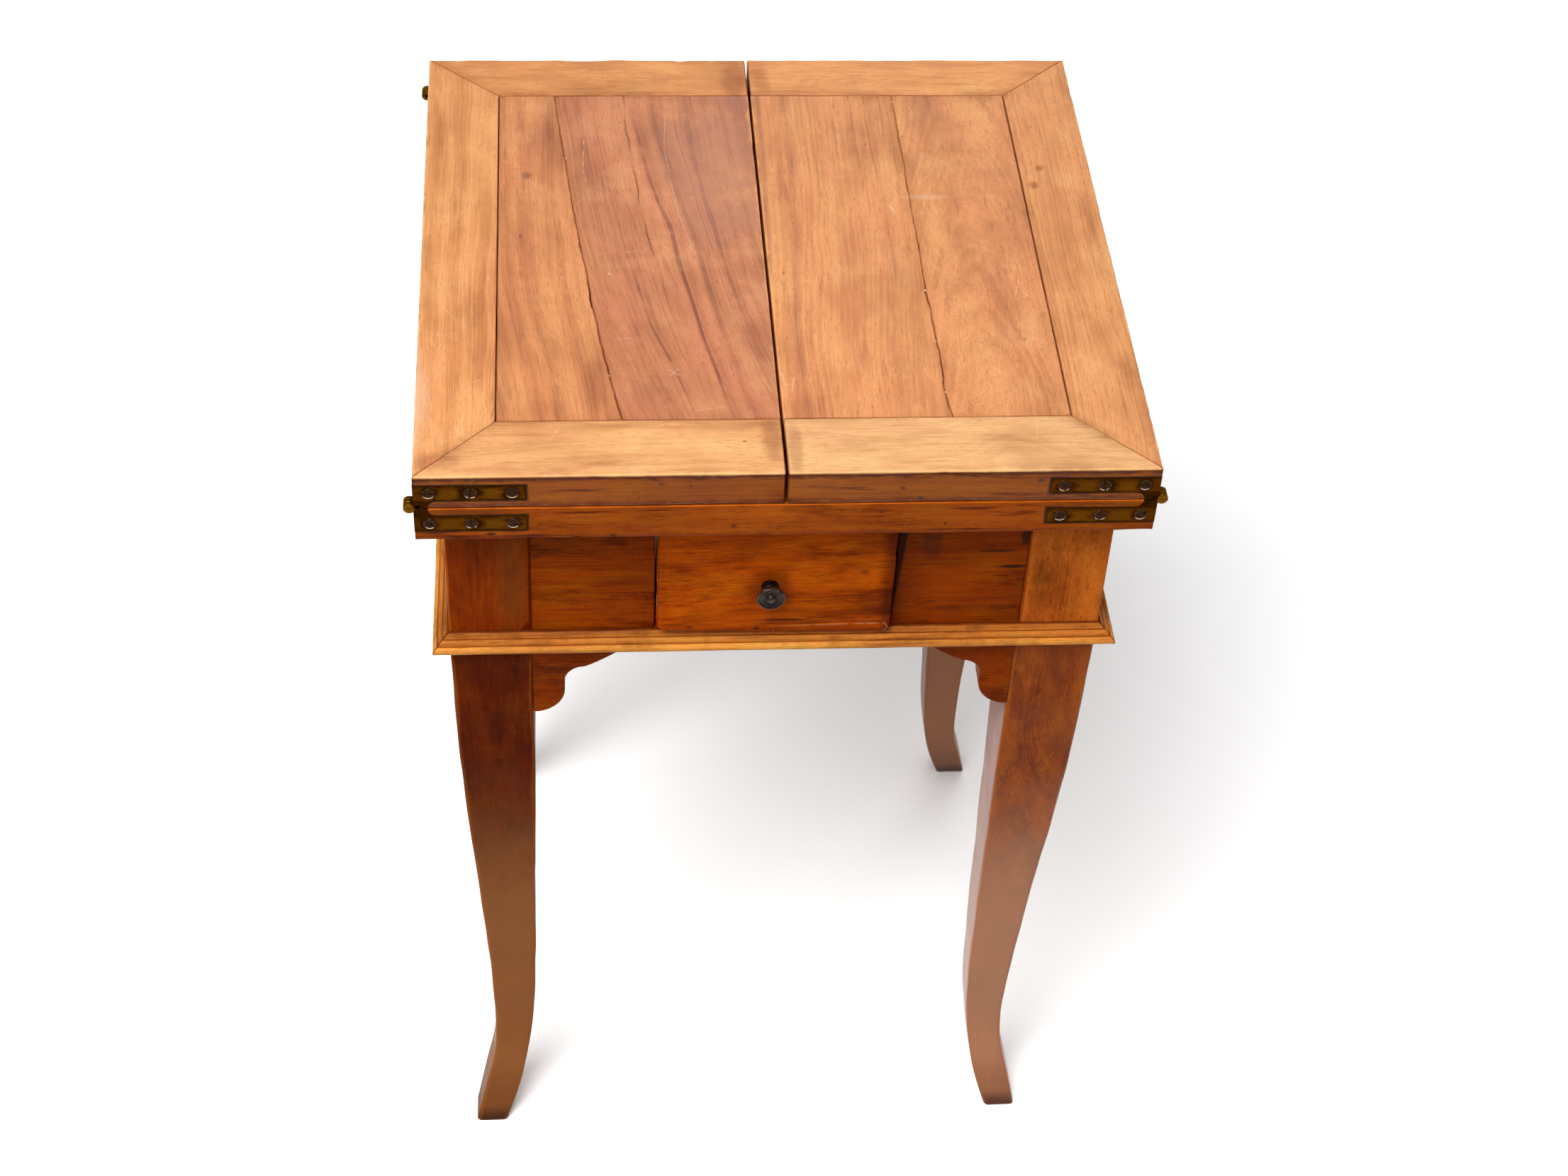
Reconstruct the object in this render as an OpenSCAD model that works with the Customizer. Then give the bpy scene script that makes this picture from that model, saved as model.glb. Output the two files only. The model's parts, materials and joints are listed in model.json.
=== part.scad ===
// Small square folding table: two leaves lie folded on a fixed top and swing out to
// both sides on brass strap hinges, over a frieze with one short drawer and four
// curved legs. Origin on the floor under the middle of the top, +Z up, front at -Y.

/* [Top] */
// Width of the closed top, left to right
top_w = 490; // [460:5:560]
// Depth of the top, front to back
top_d = 477; // [440:1:540]
// Thickness of each folding leaf
leaf_t = 27; // [25:0.5:34]
// Thickness of the fixed lower top
bed_t = 27.5; // [25:0.5:34]
// Gap between the folded leaves and the fixed top
fold_gap = 1; // [0.6:0.1:2]
// Gap at the seam between the two leaves
seam_gap = 2; // [1:0.5:4]
// Sideways place of the seam, from the middle of the top
seam_shift = -2.6; // [-10:0.2:10]
// Width of the side borders
stile_w = 53.5; // [40:0.5:70]
// Width of the front borders
front_border_w = 54; // [40:0.5:70]
// Width of the back borders
back_border_w = 49; // [40:0.5:70]
// Open joint between two boards of a panel
board_gap = 0.5; // [0.3:0.1:1.5]
// How much of the left panel's width its outer board takes at the back
left_outer_back_share = 0.221; // [0.1:0.001:0.8]
// How much of the left panel's width its outer board takes at the front
left_outer_front_share = 0.445; // [0.1:0.001:0.8]
// How much of the right panel's width its outer board takes at the back
right_outer_back_share = 0.445; // [0.1:0.001:0.8]
// How much of the right panel's width its outer board takes at the front
right_outer_front_share = 0.414; // [0.1:0.001:0.8]
// Thickness of the tongues on the panel boards
tongue_t = 8; // [5:0.5:11]
// Length of the tongues on the panel boards
tongue_l = 7; // [4:0.5:12]
// Chamfer on the front and back edges beside the fold
arris = 3; // [1:0.5:5]

/* [Frame] */
// How far the top stands past the frame at each side
side_overhang = 17; // [5:1:40]
// How far the top stands past the frame at the front and back
front_overhang = 35; // [26:1:50]
// Height of the frieze between the moulding and the top
frieze_h = 119.6; // [100:0.2:150]
// Thickness of the rails
rail_t = 20; // [18:0.5:26]
// Thickness of the tenons
tenon_t = 8; // [6:0.5:10]
// Length of the tenons
tenon_l = 25; // [15:1:28]
// Step between a rail's edge and its tenon
tenon_shoulder = 10; // [5:1:20]
// Depth of the bearer under the drawer, front to back
bearer_d = 45; // [35:1:52]
// Thickness of the rail over the drawer
top_rail_t = 8; // [6:0.5:14]
// Depth of the rail over the drawer, front to back
top_rail_d = 40; // [30:1:50]

/* [Legs] */
// Height of the legs below the moulding
leg_h = 574; // [540:1:620]
// Width of the square post at the top of each leg
post_w = 57; // [50:0.5:66]

/* [Moulding] */
// Height of the moulding
moulding_h = 11.4; // [11:0.1:16]
// How far the moulding stands out from the frame
moulding_out = 11.7; // [11:0.1:16]
// Radius of the large lower bead
torus_r = 3.1; // [2.6:0.1:3.2]
// Radius of the small upper bead
bead_r = 2.2; // [1.5:0.1:2.4]
// Step of the small grooves between the beads
quirk = 0.6; // [0.3:0.1:0.8]

/* [Brackets] */
// Reach of a bracket along its rail
bracket_w = 88; // [70:1:110]
// Height of a bracket down its leg
bracket_h = 72.7; // [66:0.1:90]
// Radius of the round lobe at the foot of a bracket
lobe_r = 22.5; // [18:0.5:24]
// Radius of the hollow above the lobe
cove_r = 20; // [16:0.5:22]
// Thickness of a bracket
bracket_t = 19; // [12:0.5:24]
// How far a bracket's face lies behind the frame's face
bracket_setback = 0.5; // [0:0.1:2]
// Thickness of a bracket's thin end
bracket_tip_t = 2; // [1:0.5:5]

/* [Drawer] */
// Width of the drawer front
drawer_w = 164.4; // [120:0.2:240]
// Sideways place of the drawer, from the middle of the table
drawer_shift = -2.9; // [-20:0.1:20]
// Gap round the drawer front
drawer_gap = 0.7; // [0.4:0.1:1.5]
// Thickness of the drawer front
drawer_front_t = 21; // [18:0.5:28]
// How far the drawer front stands out from the frieze
drawer_proud = 8.5; // [0:0.5:10]
// Thickness of the drawer's sides and back
drawer_side_t = 9.5; // [7:0.5:14]
// Thickness of the drawer's bottom
drawer_bottom_t = 6; // [4:0.5:8]
// Gap between the drawer box and its runners, guides and kickers
drawer_play = 0.5; // [0.3:0.1:1]
// Width of the runners and kickers
runner_w = 30; // [24:1:40]
// Width of the guides beside the drawer
guide_w = 14; // [10:1:20]
// Height of the guides
guide_h = 30; // [20:1:60]
// Length of the stop blocks behind the drawer, front to back
stop_l = 18; // [10:1:40]
// Length of the dovetails between the drawer's sides and front
tail_l = 12; // [8:0.5:14]

/* [Knob] */
// Diameter of the knob's face
knob_d = 20; // [16:0.2:30]
// How far the knob stands out from the drawer front
knob_out = 15; // [13:0.5:23]
// Diameter of the knob's neck
knob_neck_d = 11; // [7:0.5:13]
// Sideways place of the knob, from the middle of the drawer
knob_shift = -4.2; // [-20:0.1:20]
// Height of the knob above the foot of the drawer front
knob_up = 46.5; // [30:0.5:80]

/* [Hinges] */
// Length of a hinge strap
strap_l = 74; // [60:1:90]
// Width of a hinge strap
strap_w = 13.6; // [11:0.1:15]
// Thickness of a hinge strap
strap_t = 3; // [2.4:0.2:3.6]
// Distance between the hinge's axis and the near edge of a strap
strap_off = 6.4; // [5.4:0.1:7]
// Width of a strap's foot beside the end of the boards
foot_w = 9.5; // [8:0.5:12]
// Radius of the hinge's eyes
eye_r = 4; // [3.4:0.1:4.6]
// How far the hinge's axis lies past the ends of the boards
eye_out = 2.3; // [1.6:0.1:3]
// Radius of the hinge pin
pin_r = 1.9; // [1.4:0.1:2.2]
// Depth of the hinge's knuckle, front to back
knuckle_d = 9; // [8.6:0.2:12]

/* [Screws] */
// Diameter of a hinge screw's head
screw_head_d = 9; // [7:0.2:9.6]
// Depth of a hinge screw's countersunk head
screw_head_h = 2.3; // [1.6:0.1:2.4]
// Diameter of a hinge screw's shank
screw_d = 4.2; // [3:0.2:5]
// Length of a hinge screw
screw_l = 24; // [14:1:32]
// Distance between neighbouring screws of a strap
screw_step = 27; // [22:0.5:30]
// Distance of the outer screw from the end of the boards
screw_first = 10.5; // [9:0.5:13]

/* [Top fixings] */
// Length of a wooden button that holds the top down
button_l = 34; // [26:1:44]
// Width of a wooden button
button_w = 24; // [18:1:34]
// Thickness of a wooden button
button_t = 14; // [11:1:18]
// Thickness of a button's tongue
button_tongue_t = 6; // [4:0.5:8]
// Length of a button's tongue
button_tongue_l = 6; // [4:0.5:9]
// Distance of the side buttons from the middle of the side rails
button_place = 80; // [50:1:110]

/* [Hidden] */
$fn = 48;

// How far a cut runs past the face that it opens
over = 1;
// Space left in glued joints and round fixed screws
glue_gap = 0.1;
// Radial clearance of a screw in its hole
screw_fit = 0.05;
// Radial clearance of the hinge pin in the leaf straps
pin_fit = 0.05;
// Radial clearance of the hinge pin in the bed straps
pin_seat = 0.02;
// Clearance between the hinge's eyes, side by side
eye_side_gap = 0.1;
// Clearance round the hinge's eyes
eye_gap = 0.3;
// Gap between the feet of two folded straps
foot_gap = 0.2;
// Gap between the hinge's stop shoulders when a leaf is open
stop_gap = 0.2;
// Height of the hinge's stop shoulders above or below the axis
shoulder_h = 7.5;
// Height of the thick block at a strap's end, from the axis
block_h = 12;
// Width and depth of a screw's slot
slot_w = 1;
slot_h = 0.9;
// Space between the drawer's box and its front's ends
drawer_inset = 0.6;
// Height of the drawer's bottom above the foot of its sides
drawer_bottom_up = 7;
// Depth of the grooves that hold the drawer's bottom
drawer_groove = 4.5;
// How far the drawer's back stays below its sides
drawer_back_low = 8;
// Radius of the rounded lower corners of the drawer front
drawer_corner_r = 6;
// Gap between the drawer's back and its stops
drawer_stop_gap = 0.3;
// Knob screw: shank, head and length inside the drawer
knob_screw_d = 4;
knob_screw_head_d = 9;
knob_screw_head_h = 2.5;
// How far the knob screw reaches into the knob
knob_screw_reach = 9;
// Button screw: shank, head and depth in the top
button_screw_d = 4;
button_screw_head_d = 8;
button_screw_head_h = 2.2;
button_screw_bite = 13;
// Distance of a button's slot below the top's underside
button_drop = 8;
// Clearance round a button's tongue in its slot
button_play = 0.2;

// Heights from the floor
moulding_top = leg_h + moulding_h;
bed_bottom = moulding_top + frieze_h;
bed_top = bed_bottom + bed_t;
leaf_bottom = bed_top + fold_gap;
leaf_top = leaf_bottom + leaf_t;
axis_z = bed_top + fold_gap / 2;

// Faces of the frame and of the top, from the middle
half_w = top_w / 2;
half_d = top_d / 2;
frame_x = half_w - side_overhang;
frame_y = half_d - front_overhang;
post_in_x = frame_x - post_w;
post_in_y = frame_y - post_w;
seam_left = seam_shift - seam_gap / 2;
seam_right = seam_shift + seam_gap / 2;
panel_x = half_w - stile_w;
panel_front = -half_d + front_border_w;
panel_back = half_d - back_border_w;
left_joint_back = -panel_x + left_outer_back_share * (panel_x + seam_left);
left_joint_front = -panel_x + left_outer_front_share * (panel_x + seam_left);
right_joint_back = panel_x - right_outer_back_share * (panel_x - seam_right);
right_joint_front = panel_x - right_outer_front_share * (panel_x - seam_right);

// The drawer and its opening
open_left = drawer_shift - drawer_w / 2 - drawer_gap;
open_right = drawer_shift + drawer_w / 2 + drawer_gap;
box_half_w = drawer_w / 2 - drawer_inset;
drawer_foot = moulding_top + drawer_gap;
drawer_head = bed_bottom - top_rail_t - drawer_gap;
drawer_face = -frame_y - drawer_proud;
drawer_inner = drawer_face + drawer_front_t;
side_foot = moulding_top + drawer_play;
side_head = bed_bottom - top_rail_t - drawer_play;
drawer_end = frame_y - rail_t - stop_l - drawer_stop_gap;
drawer_floor = side_foot + drawer_bottom_up;
knob_x = drawer_shift + knob_shift;
knob_z = drawer_foot + knob_up;

// A leg's two outlines: heights as shares of its free height, places as shares of its post
leg_height_shares = [0, 0.06, 0.12, 0.18, 0.25, 0.35, 0.5, 0.65, 0.8, 1];
leg_outer_shares = [0, 0.14, 0.28, 0.33, 0.32, 0.28, 0.2, 0.105, 0.035, 0];
leg_inner_shares = [0.44, 0.63, 0.765, 0.84, 0.89, 0.925, 0.95, 0.98, 1, 1];
leg_curve_steps = 4;
// Bends of the thin end of a bracket
bracket_run_power = 1.25;
bracket_run_steps = 6;
arc_steps = 8;
// Where the drawer's dovetails lie, and how far they flare, as shares of the side's height
tail_count = 3;
tail_root_share = 0.14;
tail_tip_share = 0.2;
// The knob's outline: places along it as shares of its reach, with radii as shares of its neck and of its face
knob_neck_along_shares = [0, 0.08, 0.14, 0.22, 0.29, 0.36, 0.5];
knob_neck_radius_shares = [1.12, 1.12, 1, 0.94, 1.06, 0.94, 0.92];
knob_face_along_shares = [0.58, 0.68, 0.78, 0.88, 0.94, 0.93, 0.88, 0.88, 0.98, 1];
knob_face_radius_shares = [0.72, 0.92, 1, 0.98, 0.9, 0.8, 0.72, 0.34, 0.18, 0];

// Turned and joined stock

// Box between two places on each axis, widened by grow on every side
module block(x, y, z, grow = 0)
    translate([x[0] - grow, y[0] - grow, z[0] - grow])
        cube([x[1] - x[0] + 2 * grow, y[1] - y[0] + 2 * grow, z[1] - z[0] + 2 * grow]);

// Flat shape in the X-Z plane, carried along Y from y0 to y1
module along_y(y0, y1)
    translate([0, y1, 0]) rotate([90, 0, 0]) linear_extrude(y1 - y0) children();

// Flat shape in the Y-Z plane, carried along X from x0 to x1
module along_x(x0, x1)
    translate([x0, 0, 0]) rotate([90, 0, 90]) linear_extrude(x1 - x0) children();

// Flat shape in the X-Y plane, carried up from z0 to z1
module upright(z0, z1)
    translate([0, 0, z0]) linear_extrude(z1 - z0) children();

// Points of an arc about c, with radius r, from angle a0 to angle a1
function arc(c, r, a0, a1) =
    [for (k = [0 : arc_steps]) let (a = a0 + (a1 - a0) * k / arc_steps) c + r * [cos(a), sin(a)]];

function reversed(list) = [for (k = [len(list) - 1 : -1 : 0]) list[k]];

// Countersunk slotted screw along -Z with its head's face at the origin
module screw(head_d, head_h, shank_d, length, grow = 0) {
    translate([0, 0, -head_h])
        cylinder(h = head_h, r1 = shank_d / 2 + grow, r2 = head_d / 2 + grow);
    translate([0, 0, -length - grow])
        cylinder(h = length + grow, r = shank_d / 2 + grow);
}

module slotted_screw(head_d, head_h, shank_d, length)
    difference() {
        screw(head_d, head_h, shank_d, length);
        block([-head_d, head_d], [-slot_w / 2, slot_w / 2], [-slot_h, over]);
    }

// Legs

// Cubic curve through the places v at the heights t, with each point's slope from its neighbours
function slope(t, v, i) = let (a = max(i - 1, 0), b = min(i + 1, len(t) - 1)) (v[b] - v[a]) / (t[b] - t[a]);
function through(t, v, i, s) = let (h = t[i + 1] - t[i])
    (2 * s ^ 3 - 3 * s ^ 2 + 1) * v[i] + (s ^ 3 - 2 * s ^ 2 + s) * h * slope(t, v, i)
    + (3 * s ^ 2 - 2 * s ^ 3) * v[i + 1] + (s ^ 3 - s ^ 2) * h * slope(t, v, i + 1);

// One edge of a leg's outline, from the foot up, never past the post's inner face
function leg_edge(shares) =
    [for (i = [0 : len(leg_height_shares) - 2]) for (j = [0 : leg_curve_steps - 1])
        let (s = j / leg_curve_steps, t0 = leg_height_shares[i], t1 = leg_height_shares[i + 1])
        [post_w * min(1, through(leg_height_shares, shares, i, s)), leg_h * (t0 + s * (t1 - t0))]];

leg_outline = concat(leg_edge(leg_outer_shares), [[0, leg_h], [0, bed_bottom], [post_w, bed_bottom],
    [post_w, leg_h]], reversed(leg_edge(leg_inner_shares)));

// The same outline is sawn from two sides, so the leg is square all the way down
module leg_blank()
    translate([-frame_x, -frame_y, 0]) intersection() {
        along_y(-over, post_w + over) polygon(leg_outline);
        along_x(-over, post_w + over) polygon(leg_outline);
    }

// Puts the front left corner's shapes at another corner
module corner(right, back) mirror([right, 0, 0]) mirror([0, back, 0]) children();

// Tenon of a side rail in the front left post
module side_tenon(grow = 0)
    block([-frame_x + rail_t / 2 - tenon_t / 2, -frame_x + rail_t / 2 + tenon_t / 2],
        [-post_in_y - tenon_l, -post_in_y + (grow > 0 ? over : 0)],
        [leg_h + tenon_shoulder, bed_bottom - tenon_shoulder], grow);

// Tenon of a rail along X in the front left post, between two heights
module cross_tenon(z0, z1, grow = 0)
    block([-post_in_x - tenon_l, -post_in_x + (grow > 0 ? over : 0)],
        [-frame_y + rail_t / 2 - tenon_t / 2, -frame_y + rail_t / 2 + tenon_t / 2],
        [z0 + tenon_shoulder, z1 - tenon_shoulder], grow);

// Stub of the drawer bearer in the front left post
module bearer_stub(grow = 0)
    block([-post_in_x - tenon_l, -post_in_x + (grow > 0 ? over : 0)],
        [-frame_y + rail_t / 2, -frame_y + bearer_d - rail_t / 2],
        [leg_h + moulding_h / 4, moulding_top - moulding_h / 4], grow);

// Lap of the top rail in the head of the front left post
module top_rail_lap(grow = 0)
    block([-post_in_x - tenon_l, -post_in_x + (grow > 0 ? over : 0)],
        [-frame_y + rail_t / 2, -frame_y + top_rail_d - rail_t / 2],
        [bed_bottom - top_rail_t, bed_bottom + (grow > 0 ? over : 0)], grow);

module front_leg()
    color("#a65c28") difference() {
        leg_blank();
        side_tenon(glue_gap);
        cross_tenon(moulding_top, bed_bottom - top_rail_t, glue_gap);
        bearer_stub(glue_gap);
        top_rail_lap(glue_gap);
    }

module back_leg()
    color("#a65c28") difference() {
        leg_blank();
        side_tenon(glue_gap);
        cross_tenon(leg_h, bed_bottom, glue_gap);
    }

module leg_front_left() front_leg();
module leg_front_right() corner(1, 0) front_leg();
module leg_back_left() corner(0, 1) back_leg();
module leg_back_right() corner(1, 1) back_leg();

// Rails

// Slot for a button's tongue in the inner face of the left rail
module side_button_slot(place)
    block([-frame_x + rail_t - button_tongue_l - button_play, -frame_x + rail_t + over],
        [place - button_w / 2, place + button_w / 2],
        [bed_bottom - button_drop - button_tongue_t, bed_bottom - button_drop], button_play);

module side_rail()
    color("#b0622a") difference() {
        union() {
            block([-frame_x, -frame_x + rail_t], [-post_in_y, post_in_y], [leg_h, bed_bottom]);
            side_tenon();
            corner(0, 1) side_tenon();
        }
        for (s = [-1, 1]) side_button_slot(s * button_place);
    }

module side_rail_left() side_rail();
module side_rail_right() corner(1, 0) side_rail();

module back_rail()
    color("#b0622a") difference() {
        union() {
            block([-post_in_x, post_in_x], [frame_y - rail_t, frame_y], [leg_h, bed_bottom]);
            for (r = [0, 1]) corner(r, 1) cross_tenon(leg_h, bed_bottom);
        }
        block([-button_w / 2, button_w / 2],
            [frame_y - rail_t - over, frame_y - rail_t + button_tongue_l + button_play],
            [bed_bottom - button_drop - button_tongue_t, bed_bottom - button_drop], button_play);
    }

// Front rail beside the drawer, between the left post and the opening
module front_rail(inner)
    color("#b5642a") {
        block([-post_in_x, inner], [-frame_y, -frame_y + rail_t], [moulding_top, bed_bottom - top_rail_t]);
        cross_tenon(moulding_top, bed_bottom - top_rail_t);
    }

module front_rail_left() front_rail(open_left);
module front_rail_right() corner(1, 0) front_rail(-open_right);

module drawer_bearer()
    color("#b0622a") {
        block([-post_in_x, post_in_x], [-frame_y, -frame_y + bearer_d], [leg_h, moulding_top]);
        for (r = [0, 1]) corner(r, 0) bearer_stub();
    }

module front_top_rail()
    color("#b0622a") {
        block([-post_in_x, post_in_x], [-frame_y, -frame_y + top_rail_d],
            [bed_bottom - top_rail_t, bed_bottom]);
        for (r = [0, 1]) corner(r, 0) top_rail_lap();
    }

// Moulding

// Section of the moulding, standing out along +X from the frame's face, with its foot at zero
module moulding_section() {
    torus_x = moulding_out - torus_r;
    bead_x = torus_x - quirk - bead_r;
    bead_z = 2 * torus_r + quirk;
    step_x = bead_x - quirk;
    step_z = bead_z + bead_r + quirk;
    polygon(concat([[0, 0]], arc([torus_x, torus_r], torus_r, -90, 90),
        [[bead_x + bead_r, 2 * torus_r]], arc([bead_x, bead_z], bead_r, 0, 90),
        [[step_x, bead_z + bead_r], [step_x, step_z], [2 * quirk, moulding_h], [0, moulding_h]]));
}

// A length of moulding on the face at y = -face, mitred at both corners
module moulding(face, half)
    color("#cc7a30") intersection() {
        along_x(-half - moulding_out, half + moulding_out)
            translate([-face, leg_h]) mirror([1, 0]) moulding_section();
        upright(leg_h - over, moulding_top + over)
            polygon([[-half, -face], [half, -face],
                [half + moulding_out, -face - moulding_out], [-half - moulding_out, -face - moulding_out]]);
    }

module moulding_front() moulding(frame_y, frame_x);
module moulding_back() mirror([0, 1, 0]) moulding(frame_y, frame_x);
module moulding_left() rotate([0, 0, -90]) moulding(frame_x, frame_y);
module moulding_right() rotate([0, 0, 90]) moulding(frame_x, frame_y);

// Brackets

// Outline beside the left post: a round lobe, a hollow and a thin run under the rail
function bracket_run(k) = let (s = k / bracket_run_steps, d0 = lobe_r + cove_r, z0 = bracket_h - 2 * lobe_r - quirk)
    [d0 + (bracket_w - d0) * s, -z0 * (1 - s ^ bracket_run_power) - bracket_tip_t * s];

module bracket_outline() {
    lobe_z = -bracket_h + lobe_r;
    run = bracket_run(0);
    cove_c = [run[0], run[1] - cove_r];
    polygon(concat([[0, 0], [0, -bracket_h]], arc([0, lobe_z], lobe_r, -75, 0),
        arc(cove_c, cove_r, 180, 90),
        [for (k = [1 : bracket_run_steps]) bracket_run(k)], [[bracket_w, 0]]));
}

module front_bracket()
    along_y(-frame_y + bracket_setback, -frame_y + bracket_setback + bracket_t)
        translate([-post_in_x, leg_h]) bracket_outline();

module side_bracket()
    along_x(-frame_x + bracket_setback, -frame_x + bracket_setback + bracket_t)
        translate([-post_in_y, leg_h]) bracket_outline();

module front_brackets() color("#9a5424") for (r = [0, 1]) corner(r, 0) front_bracket();
module back_brackets() color("#9a5424") for (r = [0, 1]) corner(r, 1) front_bracket();
module left_brackets() color("#9a5424") for (b = [0, 1]) corner(0, b) side_bracket();
module right_brackets() color("#9a5424") for (b = [0, 1]) corner(1, b) side_bracket();

// Drawer supports, for the side of the opening at x = edge, with dir pointing away from the drawer

module runner(edge, dir)
    color("#c08a50") block([min(edge - dir * (runner_w - guide_w), edge + dir * guide_w),
        max(edge - dir * (runner_w - guide_w), edge + dir * guide_w)],
        [-frame_y + bearer_d, frame_y - rail_t], [leg_h, moulding_top]);

module guide(edge, dir)
    color("#c08a50") block([min(edge, edge + dir * guide_w), max(edge, edge + dir * guide_w)],
        [-frame_y + rail_t, frame_y - rail_t], [moulding_top, moulding_top + guide_h]);

module kicker(edge, dir)
    block([min(edge - dir * (runner_w - guide_w), edge + dir * guide_w),
        max(edge - dir * (runner_w - guide_w), edge + dir * guide_w)],
        [-frame_y + top_rail_d, frame_y - rail_t], [bed_bottom - top_rail_t, bed_bottom]);

module stop_block(edge, dir)
    block([min(edge, edge - dir * (runner_w - guide_w)), max(edge, edge - dir * (runner_w - guide_w))],
        [frame_y - rail_t - stop_l, frame_y - rail_t], [moulding_top, moulding_top + guide_h]);

module drawer_runner_left() runner(open_left, -1);
module drawer_runner_right() runner(open_right, 1);
module drawer_guide_left() guide(open_left, -1);
module drawer_guide_right() guide(open_right, 1);
module drawer_kickers() color("#c08a50") {
    kicker(open_left, -1);
    kicker(open_right, 1);
}
module drawer_stops() color("#c08a50") {
    stop_block(open_left, -1);
    stop_block(open_right, 1);
}

// Buttons that hold the top on the rails

// A button against the left rail at zero, with its tongue along -X and its screw upwards
module button()
    difference() {
        union() {
            block([0, button_l], [-button_w / 2 + button_play, button_w / 2 - button_play],
                [bed_bottom - button_t, bed_bottom]);
            block([-button_tongue_l, 0], [-button_w / 2 + button_play, button_w / 2 - button_play],
                [bed_bottom - button_drop - button_tongue_t, bed_bottom - button_drop]);
        }
        button_screw_at() screw(button_screw_head_d, button_screw_head_h, button_screw_d,
            button_t + over, screw_fit);
    }

module button_screw_at()
    translate([button_l / 2, 0, bed_bottom - button_t]) rotate([180, 0, 0]) children();

module at_buttons() {
    for (r = [0, 1]) for (s = [-1, 1]) corner(r, 0)
        translate([-frame_x + rail_t, s * button_place, 0]) children();
    translate([0, frame_y - rail_t, 0]) rotate([0, 0, -90]) children();
}

module top_buttons() color("#b98046") at_buttons() button();
module top_button_screws() color("#8c7a58") at_buttons() button_screw_at()
    slotted_screw(button_screw_head_d, button_screw_head_h, button_screw_d, button_t + button_screw_bite);

module button_screw_holes() at_buttons() button_screw_at()
    screw(button_screw_head_d, button_screw_head_h, button_screw_d, button_t + button_screw_bite, screw_fit);

// Hinges, in a frame at the front left end of the boards: X into the top, Y inwards, Z from the axis

module at_hinge(right, back)
    corner(right, back) translate([-half_w, -half_d, axis_z]) children();

eye_c = [-eye_out, 0];

// Outline of a strap above the axis: the band, and the foot that curves down to the fold
module strap_outline()
    polygon(concat([[0, foot_gap / 2], [foot_w, foot_gap / 2]],
        arc([foot_w + strap_off, foot_gap / 2], strap_off - foot_gap / 2, 180, 90),
        [[strap_l, strap_off], [strap_l, strap_off + strap_w], [0, strap_off + strap_w]]));

module eye(grow = 0) translate(eye_c) circle(r = eye_r + grow);

module span(x, z) translate([x[0], z[0]]) square([x[1] - x[0], z[1] - z[0]]);

module strap_screws_at() for (k = [0 : 2])
    translate([screw_first + k * screw_step, 0, strap_off + strap_w / 2]) rotate([90, 0, 0]) children();

module strap_screw_holes() strap_screws_at()
    screw(screw_head_d, screw_head_h, screw_d, screw_l, screw_fit);

module pin_bore(grow) translate([-eye_out, -over, 0]) rotate([-90, 0, 0])
    cylinder(h = knuckle_d + 2 * over, r = pin_r + grow);

// Upper strap, with a fork of two eyes round the lower strap's single eye
module upper_strap()
    color("#7a6428") difference() {
        union() {
            along_y(0, strap_t) {
                strap_outline();
                eye();
            }
            along_y(strap_t, knuckle_d) span([0, foot_w], [foot_gap / 2, block_h]);
            along_y(strap_t, knuckle_d - strap_t)
                span([-eye_out + stop_gap / 2, foot_w], [eye_r + eye_gap, shoulder_h]);
            along_y(knuckle_d - strap_t, knuckle_d) eye();
        }
        along_y(strap_t, knuckle_d - strap_t) eye(eye_gap);
        pin_bore(pin_fit);
        strap_screw_holes();
    }

// Lower strap, drawn as it lies, with its foot and its single eye
module lower_strap()
    color("#7a6428") difference() {
        union() {
            mirror([0, 0, 1]) {
                along_y(0, strap_t) strap_outline();
                along_y(strap_t, knuckle_d) span([0, foot_w], [foot_gap / 2, block_h]);
                along_y(strap_t + eye_side_gap, knuckle_d - strap_t - eye_side_gap)
                    span([-eye_out + stop_gap / 2, foot_w], [foot_gap / 2, shoulder_h]);
            }
            along_y(strap_t + eye_side_gap, knuckle_d - strap_t - eye_side_gap) eye();
        }
        along_y(-over, strap_t + eye_side_gap) eye(eye_gap);
        along_y(knuckle_d - strap_t - eye_side_gap, knuckle_d + over) eye(eye_gap);
        pin_bore(pin_seat);
        mirror([0, 0, 1]) strap_screw_holes();
    }

// Space that a hinge takes out of the boards above the axis
module hinge_recess() {
    along_y(-over, strap_t) strap_outline();
    along_y(-over, strap_t) span([-over, strap_l], [strap_off, strap_off + strap_w]);
    along_y(-over, knuckle_d) span([-over, foot_w], [-fold_gap, block_h]);
    along_y(-over, knuckle_d) eye(eye_gap);
    strap_screw_holes();
}

module leaf_recesses(right) for (b = [0, 1]) at_hinge(right, b) hinge_recess();
module bed_recesses() for (r = [0, 1]) for (b = [0, 1]) at_hinge(r, b) mirror([0, 0, 1]) hinge_recess();

module leaf_straps(right) for (b = [0, 1]) at_hinge(right, b) upper_strap();
module leaf_screws(right) color("#9c8458") for (b = [0, 1]) at_hinge(right, b)
    strap_screws_at() slotted_screw(screw_head_d, screw_head_h, screw_d, screw_l);

module bed_straps() for (r = [0, 1]) for (b = [0, 1]) at_hinge(r, b) lower_strap();
module bed_hinge_screws() color("#9c8458") for (r = [0, 1]) for (b = [0, 1]) at_hinge(r, b)
    mirror([0, 0, 1]) strap_screws_at() slotted_screw(screw_head_d, screw_head_h, screw_d, screw_l);
module hinge_pins() color("#9c8458") for (r = [0, 1]) for (b = [0, 1]) at_hinge(r, b)
    translate([-eye_out, 0, 0]) rotate([-90, 0, 0]) cylinder(h = knuckle_d, r = pin_r);

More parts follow.
